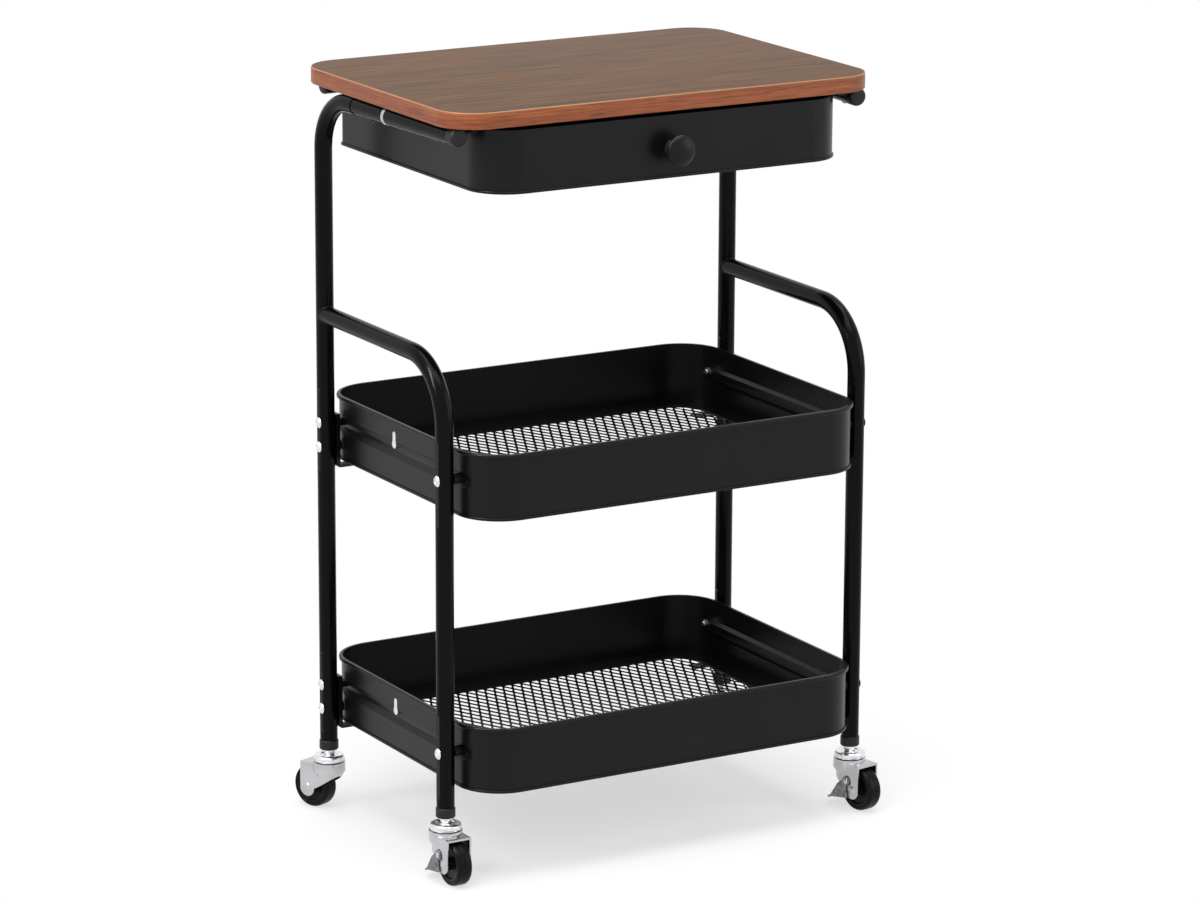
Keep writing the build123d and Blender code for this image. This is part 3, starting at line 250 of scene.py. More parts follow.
def settle(name, shape, material=None, sharp=SHARP, place=None):
    """Turns a working mesh into an object with soft shading; the place goes into its mesh."""
    bmesh.ops.remove_doubles(shape, verts=shape.verts, dist=NEW_CLOSE)
    bmesh.ops.recalc_face_normals(shape, faces=shape.faces)
    mesh = bpy.data.meshes.new(name)
    shape.to_mesh(mesh)
    shape.free()
    if place is not None:
        mesh.transform(place)
    normals = mesh.attributes.get("custom_normal")
    if normals is not None:
        mesh.attributes.remove(normals)
    mesh.shade_smooth()
    mesh.set_sharp_from_angle(angle=math.radians(sharp))
    if material is not None:
        mesh.materials.append(material)
    piece = bpy.data.objects.new(name, mesh)
    bpy.context.scene.collection.objects.link(piece)
    return piece


def applied(piece, modifier):
    """Keeps what a modifier makes of a piece as the piece's own mesh."""
    depsgraph = bpy.context.evaluated_depsgraph_get()
    made = bpy.data.meshes.new_from_object(piece.evaluated_get(depsgraph))
    piece.modifiers.remove(modifier)
    piece.data = made
    return made


def copied(node_name):
    """A working copy of a CAD node's mesh, with its loose triangles joined."""
    shape = bmesh.new()
    shape.from_mesh(NODES[node_name].data)
    bmesh.ops.remove_doubles(shape, verts=shape.verts, dist=CAD_CLOSE)
    return shape


def eased(node_name, width, material):
    """A copy of a CAD node with its sharp edges eased, so that they catch the light."""
    shape = copied(node_name)
    bmesh.ops.dissolve_limit(shape, angle_limit=math.radians(FLAT), verts=shape.verts, edges=shape.edges)
    piece = settle(node_name + "_eased", shape, material)
    bevel = piece.modifiers.new("eased edges", "BEVEL")
    bevel.width = width
    bevel.segments = 2
    bevel.limit_method = "ANGLE"
    bevel.angle_limit = math.radians(EASED_SHARP)
    bevel.use_clamp_overlap = True
    made = applied(piece, bevel)
    made.shade_smooth()
    made.set_sharp_from_angle(angle=math.radians(EASED_SHARP))
    return piece


def node_group(name, **sockets):
    """A Geometry Nodes group with a geometry input, named inputs and a geometry output."""
    tree = bpy.data.node_groups.new(name, "GeometryNodeTree")
    tree.interface.new_socket("Geometry", in_out="INPUT", socket_type="NodeSocketGeometry")
    for label, kind in sockets.items():
        tree.interface.new_socket(label.replace("_", " "), in_out="INPUT", socket_type="NodeSocket" + kind)
    tree.interface.new_socket("Geometry", in_out="OUTPUT", socket_type="NodeSocketGeometry")
    return tree, node(tree, "NodeGroupInput").outputs


def joined(tree, *parts):
    """Several geometries as one."""
    both = node(tree, "GeometryNodeJoinGeometry")
    for part in parts:
        tree.links.new(part, both.inputs[0])
    return both.outputs[0]


def closing(tree, geometry, material):
    """Ends a group: instances made real, the material set, and the result sent out."""
    real = node(tree, "GeometryNodeRealizeInstances", {"Geometry": geometry})
    painted = node(tree, "GeometryNodeSetMaterial", {"Geometry": real.outputs[0], "Material": material})
    node(tree, "NodeGroupOutput", {"Geometry": painted.outputs[0]})


def grow(name, base, tree, **values):
    """Runs a group on a base mesh and keeps the result as a plain mesh object."""
    piece = bpy.data.objects.new(name, base)
    bpy.context.scene.collection.objects.link(piece)
    modifier = piece.modifiers.new(tree.name, "NODES")
    modifier.node_group = tree
    for item in tree.interface.items_tree:
        key = item.name.replace(" ", "_")
        if item.in_out == "INPUT" and key in values:
            modifier[item.identifier] = values[key]
    applied(piece, modifier).name = name
    return piece


# Frame helpers
def stand_in(piece, body, slot, *nodes):
    """Rides a piece on its body, in place of its CAD nodes."""
    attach(piece, body)
    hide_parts(*nodes)


def dress(material, *names):
    """Gives CAD nodes a finish."""
    for name in names:
        for slot in NODES[name].material_slots:
            slot.material = material


# Finishes
def powder_coat(name, colour, gloss_range, specular):
    """Black powder coat: dark and even, with a slight orange peel that breaks up its highlights."""
    material, tree, shader = finish(name, "#090909", gloss_range[0], specular=specular)
    # the peel is drawn 3 mm wide, because its real 1 mm is too fine to show
    peel = noise(tree, stretched(tree, (3, 3, 3)), detail=2.0)
    drift = noise(tree, stretched(tree, (60, 60, 90)), detail=3.0)
    darker, lighter = ([c * share for c in colour] + [1] for share in (0.75, 1.25))
    tone = blend(tree, drift, darker, lighter)
    cover(tree, shader, peel, 0.15, Base_Color=tone, Roughness=between(tree, drift, *gloss_range))
    return material


def laminate():
    """Printed walnut laminate: long grey-brown and reddish streaks along the board under a satin face."""
    material, tree, shader = finish("Walnut print laminate", "#64503f", 0.55, specular=0.1)
    # the streaks wander sideways by up to 12 mm
    wander = noise(tree, stretched(tree, (260, 60, 60)), detail=2.0, out="Color")
    bend = node(tree, "ShaderNodeVectorMath", {0: wander, "Scale": 12 * MM}, operation="SCALE")
    bent = vectors(tree, "ADD", coordinates(tree), bend.outputs["Vector"])
    broad = noise(tree, stretched(tree, (420, 28, 1000), bent), detail=4.0, roughness=0.55)
    fine = noise(tree, stretched(tree, (85, 2.6, 1000), bent), detail=3.0, roughness=0.6)
    ground = ramp(tree, broad, (0.3, "#35302b"), (0.45, "#503d30"), (0.55, "#5d412d"), (0.7, "#40382f"))
    streak = ramp(tree, fine, (0.3, "#1a1310"), (0.44, "#43352a"), (0.56, "#60432e"), (0.72, "#6e5c4d"))
    wood = blend(tree, 0.55, ground, streak)
    cover(tree, shader, fine, 0.08, Base_Color=wood, Roughness=between(tree, fine, 0.5, 0.62))
    return material


def edge_band(line_from, line_to):
    """Walnut print edge band: warm orange-brown streaks round the board, with a pale line at the top."""
    material, tree, shader = finish("Walnut print edge band", "#a05a36", 0.38, specular=0.3)
    around = coordinates(tree, "UV")
    fine = noise(tree, stretched(tree, (42, 1.7, 1), around), detail=3.0, roughness=0.6)
    broad = noise(tree, stretched(tree, (300, 11, 1), around), detail=2.0)
    ground = ramp(tree, broad, (0.35, "#6c3720"), (0.5, "#86472a"), (0.65, "#965731"))
    streak = ramp(tree, fine, (0.32, "#2e130b"), (0.43, "#723a22"), (0.6, "#97542f"))
    wood = blend(tree, 0.55, ground, streak)
    height = node(tree, "ShaderNodeSeparateXYZ", {0: around}).outputs["Y"]
    line = node(tree, "ShaderNodeMapRange", {"Value": height, "From Min": line_from, "From Max": line_to})
    pale = blend(tree, line.outputs["Result"], wood, linear("#9c6c45"))
    cover(tree, shader, fine, 0.06, Base_Color=pale)
    return material


def speckled(name, light, dark, size_mm, roughness, metallic=0.0, specular=0.5, bump=0.05, spread=0.08):
    """A finish whose tone and gloss drift between two colours over size_mm."""
    material, tree, shader = finish(name, light, roughness, metallic, specular)
    grain = noise(tree, stretched(tree, size_mm), detail=4.0)
    tone = ramp(tree, grain, (0.35, dark), (0.65, light))
    gloss = between(tree, grain, roughness - spread, roughness + spread)
    cover(tree, shader, grain, bump, Base_Color=tone, Roughness=gloss)
    return material


FINISHES = {}


def finish_set(scene):
    """The trolley's finishes, made once for all its pieces."""
    if FINISHES:
        return FINISHES
    sizes, coat = scene.trolley_sizes, scene.trolley_colours.coat
    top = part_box("worktop")[1].z
    # sheet metal: satin coat, an even dark grey under soft light
    FINISHES["coat"] = powder_coat("Satin black powder coat", coat, (0.27, 0.37), 0.19)
    # tube: the same coat baked glossier, black with narrow highlights, with its colour taken down to 0.6 of
    # the coat as painted shade on the round tubes
    FINISHES["tube"] = powder_coat("Gloss black powder coat", [c * 0.6 for c in coat], (0.16, 0.24), 0.09)
    # the board's printed face, and the band round its edge
    FINISHES["laminate"] = laminate()
    FINISHES["band"] = edge_band(top - sizes.band_line_from, top - sizes.band_line_to)
    # balancing paper under the board: brown, dull and faintly mottled
    FINISHES["under"] = speckled("Brown balancing paper", "#6a5140", "#57412f", (8, 8, 8), 0.7, specular=0.2)
    # moulded polypropylene: dull black with the faint mottle of its mould
    FINISHES["moulded"] = speckled(
        "Moulded black polypropylene", "#161616", "#0c0c0c", (3, 3, 3), 0.5, specular=0.3)
    # hard wheel plastic: a little glossier, with moulding drift round the tread
    FINISHES["wheel"] = speckled(
        "Hard black wheel plastic", "#0a0a0a", "#050505", (6, 6, 6), 0.34, specular=0.12)
    # bright zinc plate: pale metal, softly clouded by its passivation
    FINISHES["zinc"] = speckled(
        "Bright zinc plate", "#c6c6c8", "#b9b9bc", (40, 40, 30), 0.24, metallic=1.0, bump=0.01, spread=0.05)
    # chrome plate: clear reflections with only a trace of haze
    FINISHES["chrome"] = speckled(
        "Chrome plate", "#ececee", "#dcdcdf", (9, 9, 9), 0.2, metallic=1.0, bump=0.01, spread=0.05)
    # nickel-plated screws: pale and satin
    FINISHES["nickel"] = speckled(
        "Nickel-plated screw", "#eeede9", "#dddbd6", (4, 4, 4), 0.3, metallic=1.0, bump=0.01)
    # blackened screws: dark metal with a dull oily sheen
    FINISHES["blackened"] = speckled(
        "Blackened screw steel", "#2c2b2a", "#1b1a1a", (2, 2, 2), 0.42, metallic=0.9)
    # pedal steel: grey phosphated sheet with rubbed patches
    FINISHES["pedal"] = speckled("Grey pressed steel", "#8c8c8e", "#5c5c5f", (5, 5, 5), 0.42, metallic=0.85)
    # painted hardboard: black paint over a fibrous face
    FINISHES["hardboard"] = speckled(
        "Black painted hardboard", "#1d1c1b", "#121110", (2.5, 5, 2.5), 0.62, specular=0.2, bump=0.2)
    return FINISHES


# Worktop
def board(sizes, finishes):
    """The worktop: a laminate face and a wrapped edge band, with a UV that runs round the edge."""
    low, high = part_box("worktop")
    centre, half = (low + high) / 2, (high - low) / 2
    ease = sizes.board_arris
    # inset and height of each ring of points, up the edge and over the rounded arris
    rings = [(ease / 2, low.z), (0.0, low.z + ease / 2), (0.0, high.z - ease)]
    arris_steps = 4
    for angle in spaced(0, math.pi / 2, arris_steps)[1:-1]:
        rings.append((ease * (1 - math.cos(angle)), high.z - ease * (1 - math.sin(angle))))
    rings.append((ease, high.z))
    outline = loop_points(half.x, half.y, sizes.board_corner)
    along = [0.0]
    for a, b in zip(outline, outline[1:] + outline[:1]):
        along.append(along[-1] + math.dist(a, b))
    shape = bmesh.new()
    uv = shape.loops.layers.uv.new("band")
    levels = []
    for inset, z in rings:
        points = loop_points(half.x - inset, half.y - inset, sizes.board_corner - inset)
        levels.append([shape.verts.new((centre.x + x, centre.y + y, z)) for x, y in points])
    count = len(outline)
    for i, (under, over) in enumerate(zip(levels, levels[1:])):
        heights = (rings[i][1], rings[i][1], rings[i + 1][1], rings[i + 1][1])
        for k in range(count):
            n = (k + 1) % count
            face = shape.faces.new((under[k], under[n], over[n], over[k]))
            face.material_index = 1
            reaches = (along[k], along[k + 1], along[k + 1], along[k])
            for loop, u, v in zip(face.loops, reaches, heights):
                loop[uv].uv = (u, v)
    shape.faces.new(levels[-1]).material_index = 0
    shape.faces.new(levels[0][::-1]).material_index = 2
    piece = settle("worktop_board", shape, sharp=BOARD_SHARP)
    for key in ("laminate", "band", "under"):
        piece.data.materials.append(finishes[key])
    stand_in(piece, "frame", "laminate", "worktop")


# Mesh floors
def mesh_cell(pitch_x, pitch_y, strand):
    """One flat diamond of expanded metal: the half strands round one opening, with eased corners."""
    a, b = pitch_x / 2, pitch_y / 2
    reach = a * b / math.hypot(a, b)
    shrink = (reach - strand / 2) / reach
    corners = [Vector((a, 0, 0)), Vector((0, b, 0)), Vector((-a, 0, 0)), Vector((0, -b, 0))]
    ease_share = 0.16
    shape = bmesh.new()
    outer, inner = [], []
    for here, there in zip(corners, corners[1:] + corners[:1]):
        for share in (0.0, ease_share, 1 - ease_share):
            point = here.lerp(there, share)
            outer.append(shape.verts.new(point))
            pull = shrink if share else shrink * (1 - ease_share / 2)
            inner.append(shape.verts.new(point * pull))
    for k in range(len(outer)):
        n = (k + 1) % len(outer)
        shape.faces.new((outer[k], outer[n], inner[n], inner[k]))
    mesh = bpy.data.meshes.new("mesh_cell")
    shape.to_mesh(mesh)
    shape.free()
    return mesh


def mesh_floor_group():
    """Expanded metal: staggers the diamond over a grid, keeps what lies over the window and thickens it."""
    tree, given = node_group(
        "Expanded metal floor", Pitch_X="Float", Pitch_Y="Float", Columns="Int", Rows="Int",
        Half_Window="Vector", Corner="Float", Thickness="Float", Centre="Vector", Material="Material")
    half_x = maths(tree, "MULTIPLY", given["Pitch X"], 0.5)
    half_y = maths(tree, "MULTIPLY", given["Pitch Y"], 0.5)
    size_x = maths(tree, "MULTIPLY", given["Pitch X"], maths(tree, "SUBTRACT", given["Columns"], 1.0))
    size_y = maths(tree, "MULTIPLY", half_y, maths(tree, "SUBTRACT", given["Rows"], 1.0))
    grid = node(tree, "GeometryNodeMeshGrid", {"Size X": size_x, "Size Y": size_y,
                                               "Vertices X": given["Columns"], "Vertices Y": given["Rows"]})
    # every other row moves over by half a diamond
    place = node(tree, "GeometryNodeInputPosition").outputs[0]
    deep = node(tree, "ShaderNodeSeparateXYZ", {0: place}).outputs["Y"]
    row = maths(tree, "ROUND", maths(tree, "DIVIDE", maths(tree, "ADD", deep, size_y), half_y))
    step = maths(tree, "MULTIPLY", maths(tree, "FLOORED_MODULO", row, 2.0), half_x)
    shift = node(tree, "ShaderNodeCombineXYZ", {"X": step}).outputs[0]
    staggered = node(tree, "GeometryNodeSetPosition", {"Geometry": grid.outputs["Mesh"], "Offset": shift})
    # diamonds beyond the window's rounded outline are taken away
    past = vectors(tree, "SUBTRACT", vectors(tree, "ABSOLUTE", place), given["Half Window"])
    beyond = vectors(tree, "MAXIMUM", vectors(tree, "ADD", past, given["Corner"]), (0, 0, 0))
    distance = vectors(tree, "LENGTH", vectors(tree, "MULTIPLY", beyond, (1, 1, 0)))
    outside = node(tree, "FunctionNodeCompare", {0: distance, 1: given["Corner"]}, operation="GREATER_THAN")
    kept = node(tree, "GeometryNodeDeleteGeometry", {"Geometry": staggered.outputs[0],
                                                     "Selection": outside.outputs[0]})
    spread = node(tree, "GeometryNodeInstanceOnPoints", {"Points": kept.outputs[0],
                                                         "Instance": given["Geometry"]})
    real = node(tree, "GeometryNodeRealizeInstances", {"Geometry": spread.outputs[0]})
    sheet = node(tree, "GeometryNodeMergeByDistance", {"Geometry": real.outputs[0],
                                                       "Distance": STRAND_CLOSE}).outputs[0]
    # the sheet is raised by its thickness, and its underside closed
    lift = node(tree, "ShaderNodeCombineXYZ", {"Z": given["Thickness"]}).outputs[0]
    raised = node(tree, "GeometryNodeExtrudeMesh", {"Mesh": sheet, "Offset": lift, "Offset Scale": 1.0,
                                                    "Individual": False}, mode="FACES")
    under = node(tree, "GeometryNodeFlipFaces", {"Mesh": sheet})
    both = joined(tree, raised.outputs["Mesh"], under.outputs[0])
    whole = node(tree, "GeometryNodeMergeByDistance", {"Geometry": both, "Distance": STRAND_CLOSE})
    placed = node(tree, "GeometryNodeTransform", {"Geometry": whole.outputs[0],
                                                  "Translation": given["Centre"]})
    closing(tree, placed.outputs[0], given["Material"])
    return tree


def mesh_floors(sizes, finishes):
    """Both trays' floors of fine expanded metal, tucked under the border round each window."""
    tree = mesh_floor_group()
    cell = mesh_cell(sizes.mesh_pitch_x, sizes.mesh_pitch_y, sizes.mesh_strand)
    for tray in TRAYS:
        name = f"{tray}_mesh"
        low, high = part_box(name)
        half = (high - low) / 2 - Vector((sizes.mesh_tuck, sizes.mesh_tuck, 0))
        piece = grow(
            name + "_fine", cell.copy(), tree,
            Pitch_X=sizes.mesh_pitch_x, Pitch_Y=sizes.mesh_pitch_y,
            Columns=2 + math.ceil(2 * half.x / sizes.mesh_pitch_x),
            Rows=2 + math.ceil(4 * half.y / sizes.mesh_pitch_y),
            Half_Window=half, Corner=sizes.mesh_corner, Thickness=high.z - low.z,
            Centre=((low.x + high.x) / 2, (low.y + high.y) / 2, low.z), Material=finishes["coat"],
        )
        stand_in(piece, "frame", "black_paint", name)


# Tray screws
def screw_head(diameter, height):
    """A domed screw head along X with a round drive socket, standing on its flat face."""
    socket_share, floor_share = 0.16, 0.55
    rings, sides = 14, 48
    edge, socket, floor = diameter / 2, diameter * socket_share, height * floor_share
    ball = (edge**2 + height**2) / (2 * height)
    dome = [(r, height - ball + math.sqrt(ball**2 - r**2)) for r in spaced(edge, socket, rings)[1:]]
    profile = [(0.0, 0.0), (edge, 0.0), *dome, (socket, floor), (0.0, floor)]
    along_x = Matrix.Rotation(math.pi / 2, 4, "Y")
    return settle("screw_head", lathe(profile, sides), sharp=EASED_SHARP, place=along_x)


def screw_group():
    """Sets a head on each point, turned by the point's own angle, and a shank as long as its reach."""
    tree, given = node_group("Screws on points", Head="Object", Shank_Diameter="Float", Material="Material")
    turn, reach = (
        node(tree, "GeometryNodeInputNamedAttribute", {"Name": name}, data_type="FLOAT").outputs[0]
        for name in ("turn", "reach")
    )
    facing = node(tree, "ShaderNodeCombineXYZ", {"Z": turn}).outputs[0]
    head = node(tree, "GeometryNodeObjectInfo", {"Object": given["Head"]})
    heads = node(tree, "GeometryNodeInstanceOnPoints", {
        "Points": given["Geometry"], "Instance": head.outputs["Geometry"], "Rotation": facing})
    radius = maths(tree, "MULTIPLY", given["Shank Diameter"], 0.5)
    # a bar of unit length, laid along X behind the head and stretched to its reach
    bar = node(tree, "GeometryNodeMeshCylinder", {"Vertices": 20, "Radius": radius, "Depth": 1.0})
    laid = node(tree, "GeometryNodeTransform", {
        "Geometry": bar.outputs["Mesh"], "Translation": (-0.5, 0, 0), "Rotation": (0, math.pi / 2, 0)})
    stretch = node(tree, "ShaderNodeCombineXYZ", {"X": reach, "Y": 1.0, "Z": 1.0}).outputs[0]
    shanks = node(tree, "GeometryNodeInstanceOnPoints", {
        "Points": given["Geometry"], "Instance": laid.outputs[0], "Rotation": facing, "Scale": stretch})
    closing(tree, joined(tree, heads.outputs[0], shanks.outputs[0]), given["Material"])
    return tree


def tray_screws(sizes, finishes):
    """The screws that hold the trays: two at each rear leg and one at each front leg, on both trays."""
    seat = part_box("tray_screws")[1].x - sizes.screw_head_height
    nutted, plain = seat - sizes.nutted_screw_end, seat - sizes.low_screw_end
    front, rear = (JOINTS[f"{end}_right_swivel"]["pos_m"][1] for end in ("front", "rear"))
    rows = ((front, sizes.front_screw_rise, nutted), (rear, sizes.rear_screw_rise, nutted),
            (rear, sizes.rear_low_screw_rise, plain))
    points, turns, reaches = [], [], []
    for tray in TRAYS:
        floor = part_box(tray)[0].z
        for y, rise, reach in rows:
            for side, turn in ((1, 0.0), (-1, math.pi)):
                points.append((side * seat, y, floor + rise))
                turns.append(turn)
                reaches.append(reach)
    base = bpy.data.meshes.new("tray_screw_points")
    base.from_pydata(points, [], [])
    for name, values in (("turn", turns), ("reach", reaches)):
        base.attributes.new(name, "FLOAT", "POINT").data.foreach_set("value", values)
    head = screw_head(sizes.screw_head / MM, sizes.screw_head_height / MM)
    piece = grow("tray_screws_detailed", base, screw_group(), Head=head, Shank_Diameter=sizes.screw_shank,
                 Material=finishes["nickel"])
    bpy.data.objects.remove(head)
    stand_in(piece, "frame", "bright_steel", "tray_screws")


# Trays
def pressed_tray(name, sizes, finishes):
    """A copy of a tray with a keyhole in its left wall only."""
    shape = copied(name)
    low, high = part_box(name)
    middle, rise = (low.y + high.y) / 2 + sizes.slot_back, low.z + sizes.keyhole_rise
    # a little over half the slot's size, and how far a slot's inner face may lean towards X
    near_share, lean = 0.55, 0.3
    deep, tall = sizes.slot_width * near_share, sizes.slot_height * near_share
    near = {vert for vert in shape.verts if abs(vert.co.y - middle) < deep and abs(vert.co.z - rise) < tall}
    shape.normal_update()
    cut = [face for face in shape.faces
           if face.verts[0].co.x > 0 and abs(face.normal.x) < lean and near.issuperset(face.verts)]
    rims = {vert for face in cut for vert in face.verts}
    bmesh.ops.delete(shape, geom=cut, context="FACES")
    edges = [edge for edge in shape.edges if edge.is_boundary and rims.issuperset(edge.verts)]
    filled = bmesh.ops.holes_fill(shape, edges=edges, sides=0)["faces"]
    bmesh.ops.triangulate(shape, faces=filled)
    stand_in(settle(f"{name}_pressed", shape, finishes["coat"]), "frame", "black_paint", name)


def keyhole_plugs(sizes, finishes):
    """A bright plug in the keyhole of each tray's left wall: a narrow neck over a round foot."""
    neck, foot, tall = sizes.plug_neck / 2, sizes.plug_foot / 2, sizes.plug_height
    start = math.acos(neck / foot)
    foot_steps, crown_steps = 24, 12
    outline = [(foot * math.cos(a), foot - tall / 2 + foot * math.sin(a))
               for a in spaced(start, -math.pi - start, foot_steps)]
    outline += [(neck * math.cos(a), tall / 2 - neck + neck * math.sin(a))
                for a in spaced(math.pi, 0, crown_steps)]
    for tray in TRAYS:
        low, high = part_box(tray)
        face = low.x + sizes.plug_inset
        middle, rise = (low.y + high.y) / 2 + sizes.keyhole_back, low.z + sizes.keyhole_rise
        shape = prism([(face, middle + y, rise + z) for y, z in outline], (sizes.plug_depth, 0, 0))
        piece = settle(f"{tray}_keyhole_plug", shape, finishes["nickel"])
        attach(piece, "frame")


# Tube frame
def toed_in(node_name, slot, material, sizes, slide_from=None):
    """A copy of an arm's piece, turned about its upright so that the arms come in towards the front."""
    shape = copied(node_name)
    if slide_from is not None:
        joint = [vert for vert in shape.verts if vert.co.y > slide_from]
        bmesh.ops.translate(shape, verts=joint, vec=(0, sizes.arm_overlap, 0))
    for side, sign in SIDES.items():
        x, y, _ = JOINTS[f"rear_{side}_swivel"]["pos_m"]
        there, back = Matrix.Translation((x, y, 0)), Matrix.Translation((-x, -y, 0))
        turn = there @ Matrix.Rotation(-sign * sizes.arm_toe, 4, "Z") @ back
        arm = [vert for vert in shape.verts if sign * vert.co.x > sign * x - sizes.tube]
        bmesh.ops.transform(shape, matrix=turn, verts=arm)
    stand_in(settle(node_name + "_toed", shape, material), "frame", slot, node_name)


def bead_group():
    """A round bead along a closed line."""
    tree, given = node_group("Bead along a line", Radius="Float", Material="Material")
    line = node(tree, "GeometryNodeMeshToCurve", {"Mesh": given["Geometry"]})
    ring = node(tree, "GeometryNodeCurvePrimitiveCircle", {"Resolution": 10, "Radius": given["Radius"]})
    bead = node(tree, "GeometryNodeCurveToMesh", {
        "Curve": line.outputs[0], "Profile Curve": ring.outputs["Curve"]})
    smooth = node(tree, "GeometryNodeSetShadeSmooth", {"Geometry": bead.outputs[0]})
    closing(tree, smooth.outputs[0], given["Material"])
    return tree


def weld_beads(sizes, finishes):
    """The painted weld round each handle where it butts on its rear leg, with the ripples of its passes."""
    tree = bead_group()
    radius = sizes.tube / 2
    count, ripples, ripple_share = 72, 12, 0.012
    for side in SIDES:
        x, y, _ = JOINTS[f"rear_{side}_swivel"]["pos_m"]
        points = []
        for angle in spaced(0, 2 * math.pi, count)[:-1]:
            across = radius * math.cos(angle)
            ripple = 1 + ripple_share * math.sin(ripples * angle)
            depth = math.sqrt(max(radius**2 - across**2, 0)) + sizes.weld_lift
            rise = radius * math.sin(angle) * ripple
            points.append((x + across * ripple, y - depth, sizes.handle_height + rise))
        base = bpy.data.meshes.new("weld_line")
        base.from_pydata(points, [(k, (k + 1) % count) for k in range(count)], [])
        piece = grow(f"handle_weld_{side}", base, tree, Radius=sizes.weld_bead, Material=finishes["coat"])
        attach(piece, "frame")


# Drawer
def runner(side, sizes, finishes):
    """A drawer runner folded as a C: a flange under the worktop, a web, and a ledge for the drawer's lip."""
    name = f"drawer_runner_{side}"
    low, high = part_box(name)
    sign, sheet, flange = SIDES[side], sizes.runner_sheet, sizes.runner_flange
    ledge, outer = sorted((sign * low.x, sign * high.x))
    outer -= flange
    web = outer - sheet
    section = [
        (ledge, low.z), (outer, low.z), (outer, high.z), (web - flange, high.z),
        (web - flange, high.z - sheet), (web, high.z - sheet), (web, low.z + sheet), (ledge, low.z + sheet),
    ]
    shape = prism([(sign * x, low.y, z) for x, z in section], (0, high.y - low.y, 0))
    stand_in(settle(f"{name}_folded", shape, finishes["coat"]), "frame", "black_paint", name)


def runner_screws(sizes, finishes):
    """The runners' screws, moved with the flanges that they hold."""
    shape = copied("runner_screws")
    for vert in shape.verts:
        vert.co.x -= math.copysign(sizes.runner_flange + sizes.runner_sheet, vert.co.x)
    piece = settle("runner_screws_moved", shape, finishes["blackened"])
    stand_in(piece, "frame", "bright_steel", "runner_screws")


def knob(sizes, finishes):
    """The drawer's knob: a flattened ball on a flared stem, bored for its screw."""
    low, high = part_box("drawer_knob")
    across, head, stem, flare, bore = (
        size / MM / 2
        for size in (sizes.knob, sizes.knob_head, sizes.knob_stem, sizes.knob_flare, sizes.knob_bore)
    )
    depth, rise = sizes.knob_bore_depth / MM, sizes.knob_flare_height / MM
    ball_steps, flare_steps, sides = 28, 4, 72
    middle = (high.y - low.y) / MM - head
    ball = [(across * math.sin(a), middle - head * math.cos(a))
            for a in spaced(math.asin(stem / across), math.pi, ball_steps)[:-1]]
    flared = [(stem + (flare - stem) * (1 - t) ** 2, rise * t) for t in spaced(0, 1, flare_steps)]
    profile = [(0.0, depth), (bore, depth), (bore, 0.0), *flared, *ball, (0.0, middle + head)]
    foot = Matrix.Translation(((low.x + high.x) / 2, high.y, (low.z + high.z) / 2))
    place = foot @ Matrix.Rotation(math.pi / 2, 4, "X")
    piece = settle("drawer_knob_turned", lathe(profile, sides), finishes["coat"], place=place)
    stand_in(piece, "drawer", "black_paint", "drawer_knob")


# Casters
# Corners of the turned pieces, in millimetres
# A cup from its underside up into its dish: inset from its radius, drop below its rim and easing
CUP_CORNERS = ((0.6, 7.6, 0.5), (0, 5.4, 1.6), (0.5, 1.4, 1.6), (3.8, 0, 1.8), (7.2, 0.3, 0.8),
               (9.4, 2.0, 1.2))
# The collar in the dish, up to the flange under the leg: radius, rise above the cup's rim and easing
COLLAR_CORNERS = ((6.6, -2.2, 0.5), (6.2, -0.6, 0.5), (6.2, 4.6, 0.4), (9.3, 4.8, 0.2), (9.3, 6, 0.2))
# A wheel's face from its hub out to its tread: radius, depth inside the tread's side and easing
FACE_CORNERS = ((7.2, 3.0, 0.8), (16.2, 2.6, 0.8), (17.2, 0.8, 0.6), (20.4, 0.4, 0.5), (20.9, 1.0, 0.3),
                (21.4, 0.1, 0.4), (23.4, 0.2, 0.8))


def cup(place, sizes, finishes):
    """A caster's stem: its riveted foot, its bearing cup and collar, and the pin that goes up the leg."""
    base, top = (end.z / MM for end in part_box(f"{place}_stem"))
    x, y = JOINTS[f"{place}_swivel"]["pos_m"][:2]
    radius, foot, shank, pin = (
        size / MM / 2 for size in (sizes.cup, sizes.stem_foot, sizes.stem_shank, sizes.stem_pin)
    )
    rim, foot_top = sizes.cup_rim / MM, base + sizes.stem_foot_height / MM
    foot_ease, tip_ease, sides = 0.4, 0.3, 96
    profile = rounded([
        (0, base, 0), (foot, base, foot_ease), (foot, foot_top, 0), (shank, foot_top, 0),
        (shank, rim - CUP_CORNERS[0][1], 0),
        *((radius - inset, rim - drop, ease) for inset, drop, ease in CUP_CORNERS),
        *((r, rim + rise, ease) for r, rise, ease in COLLAR_CORNERS),
        (pin, rim + COLLAR_CORNERS[-1][1], 0), (pin, top - sizes.stem_tip / MM, tip_ease), (0, top, 0),
    ])
    at = Matrix.Translation((x, y, 0))
    piece = settle(f"{place}_cup", lathe(profile, sides), finishes["chrome"], place=at)
    stand_in(piece, "frame", "chrome", f"{place}_stem")


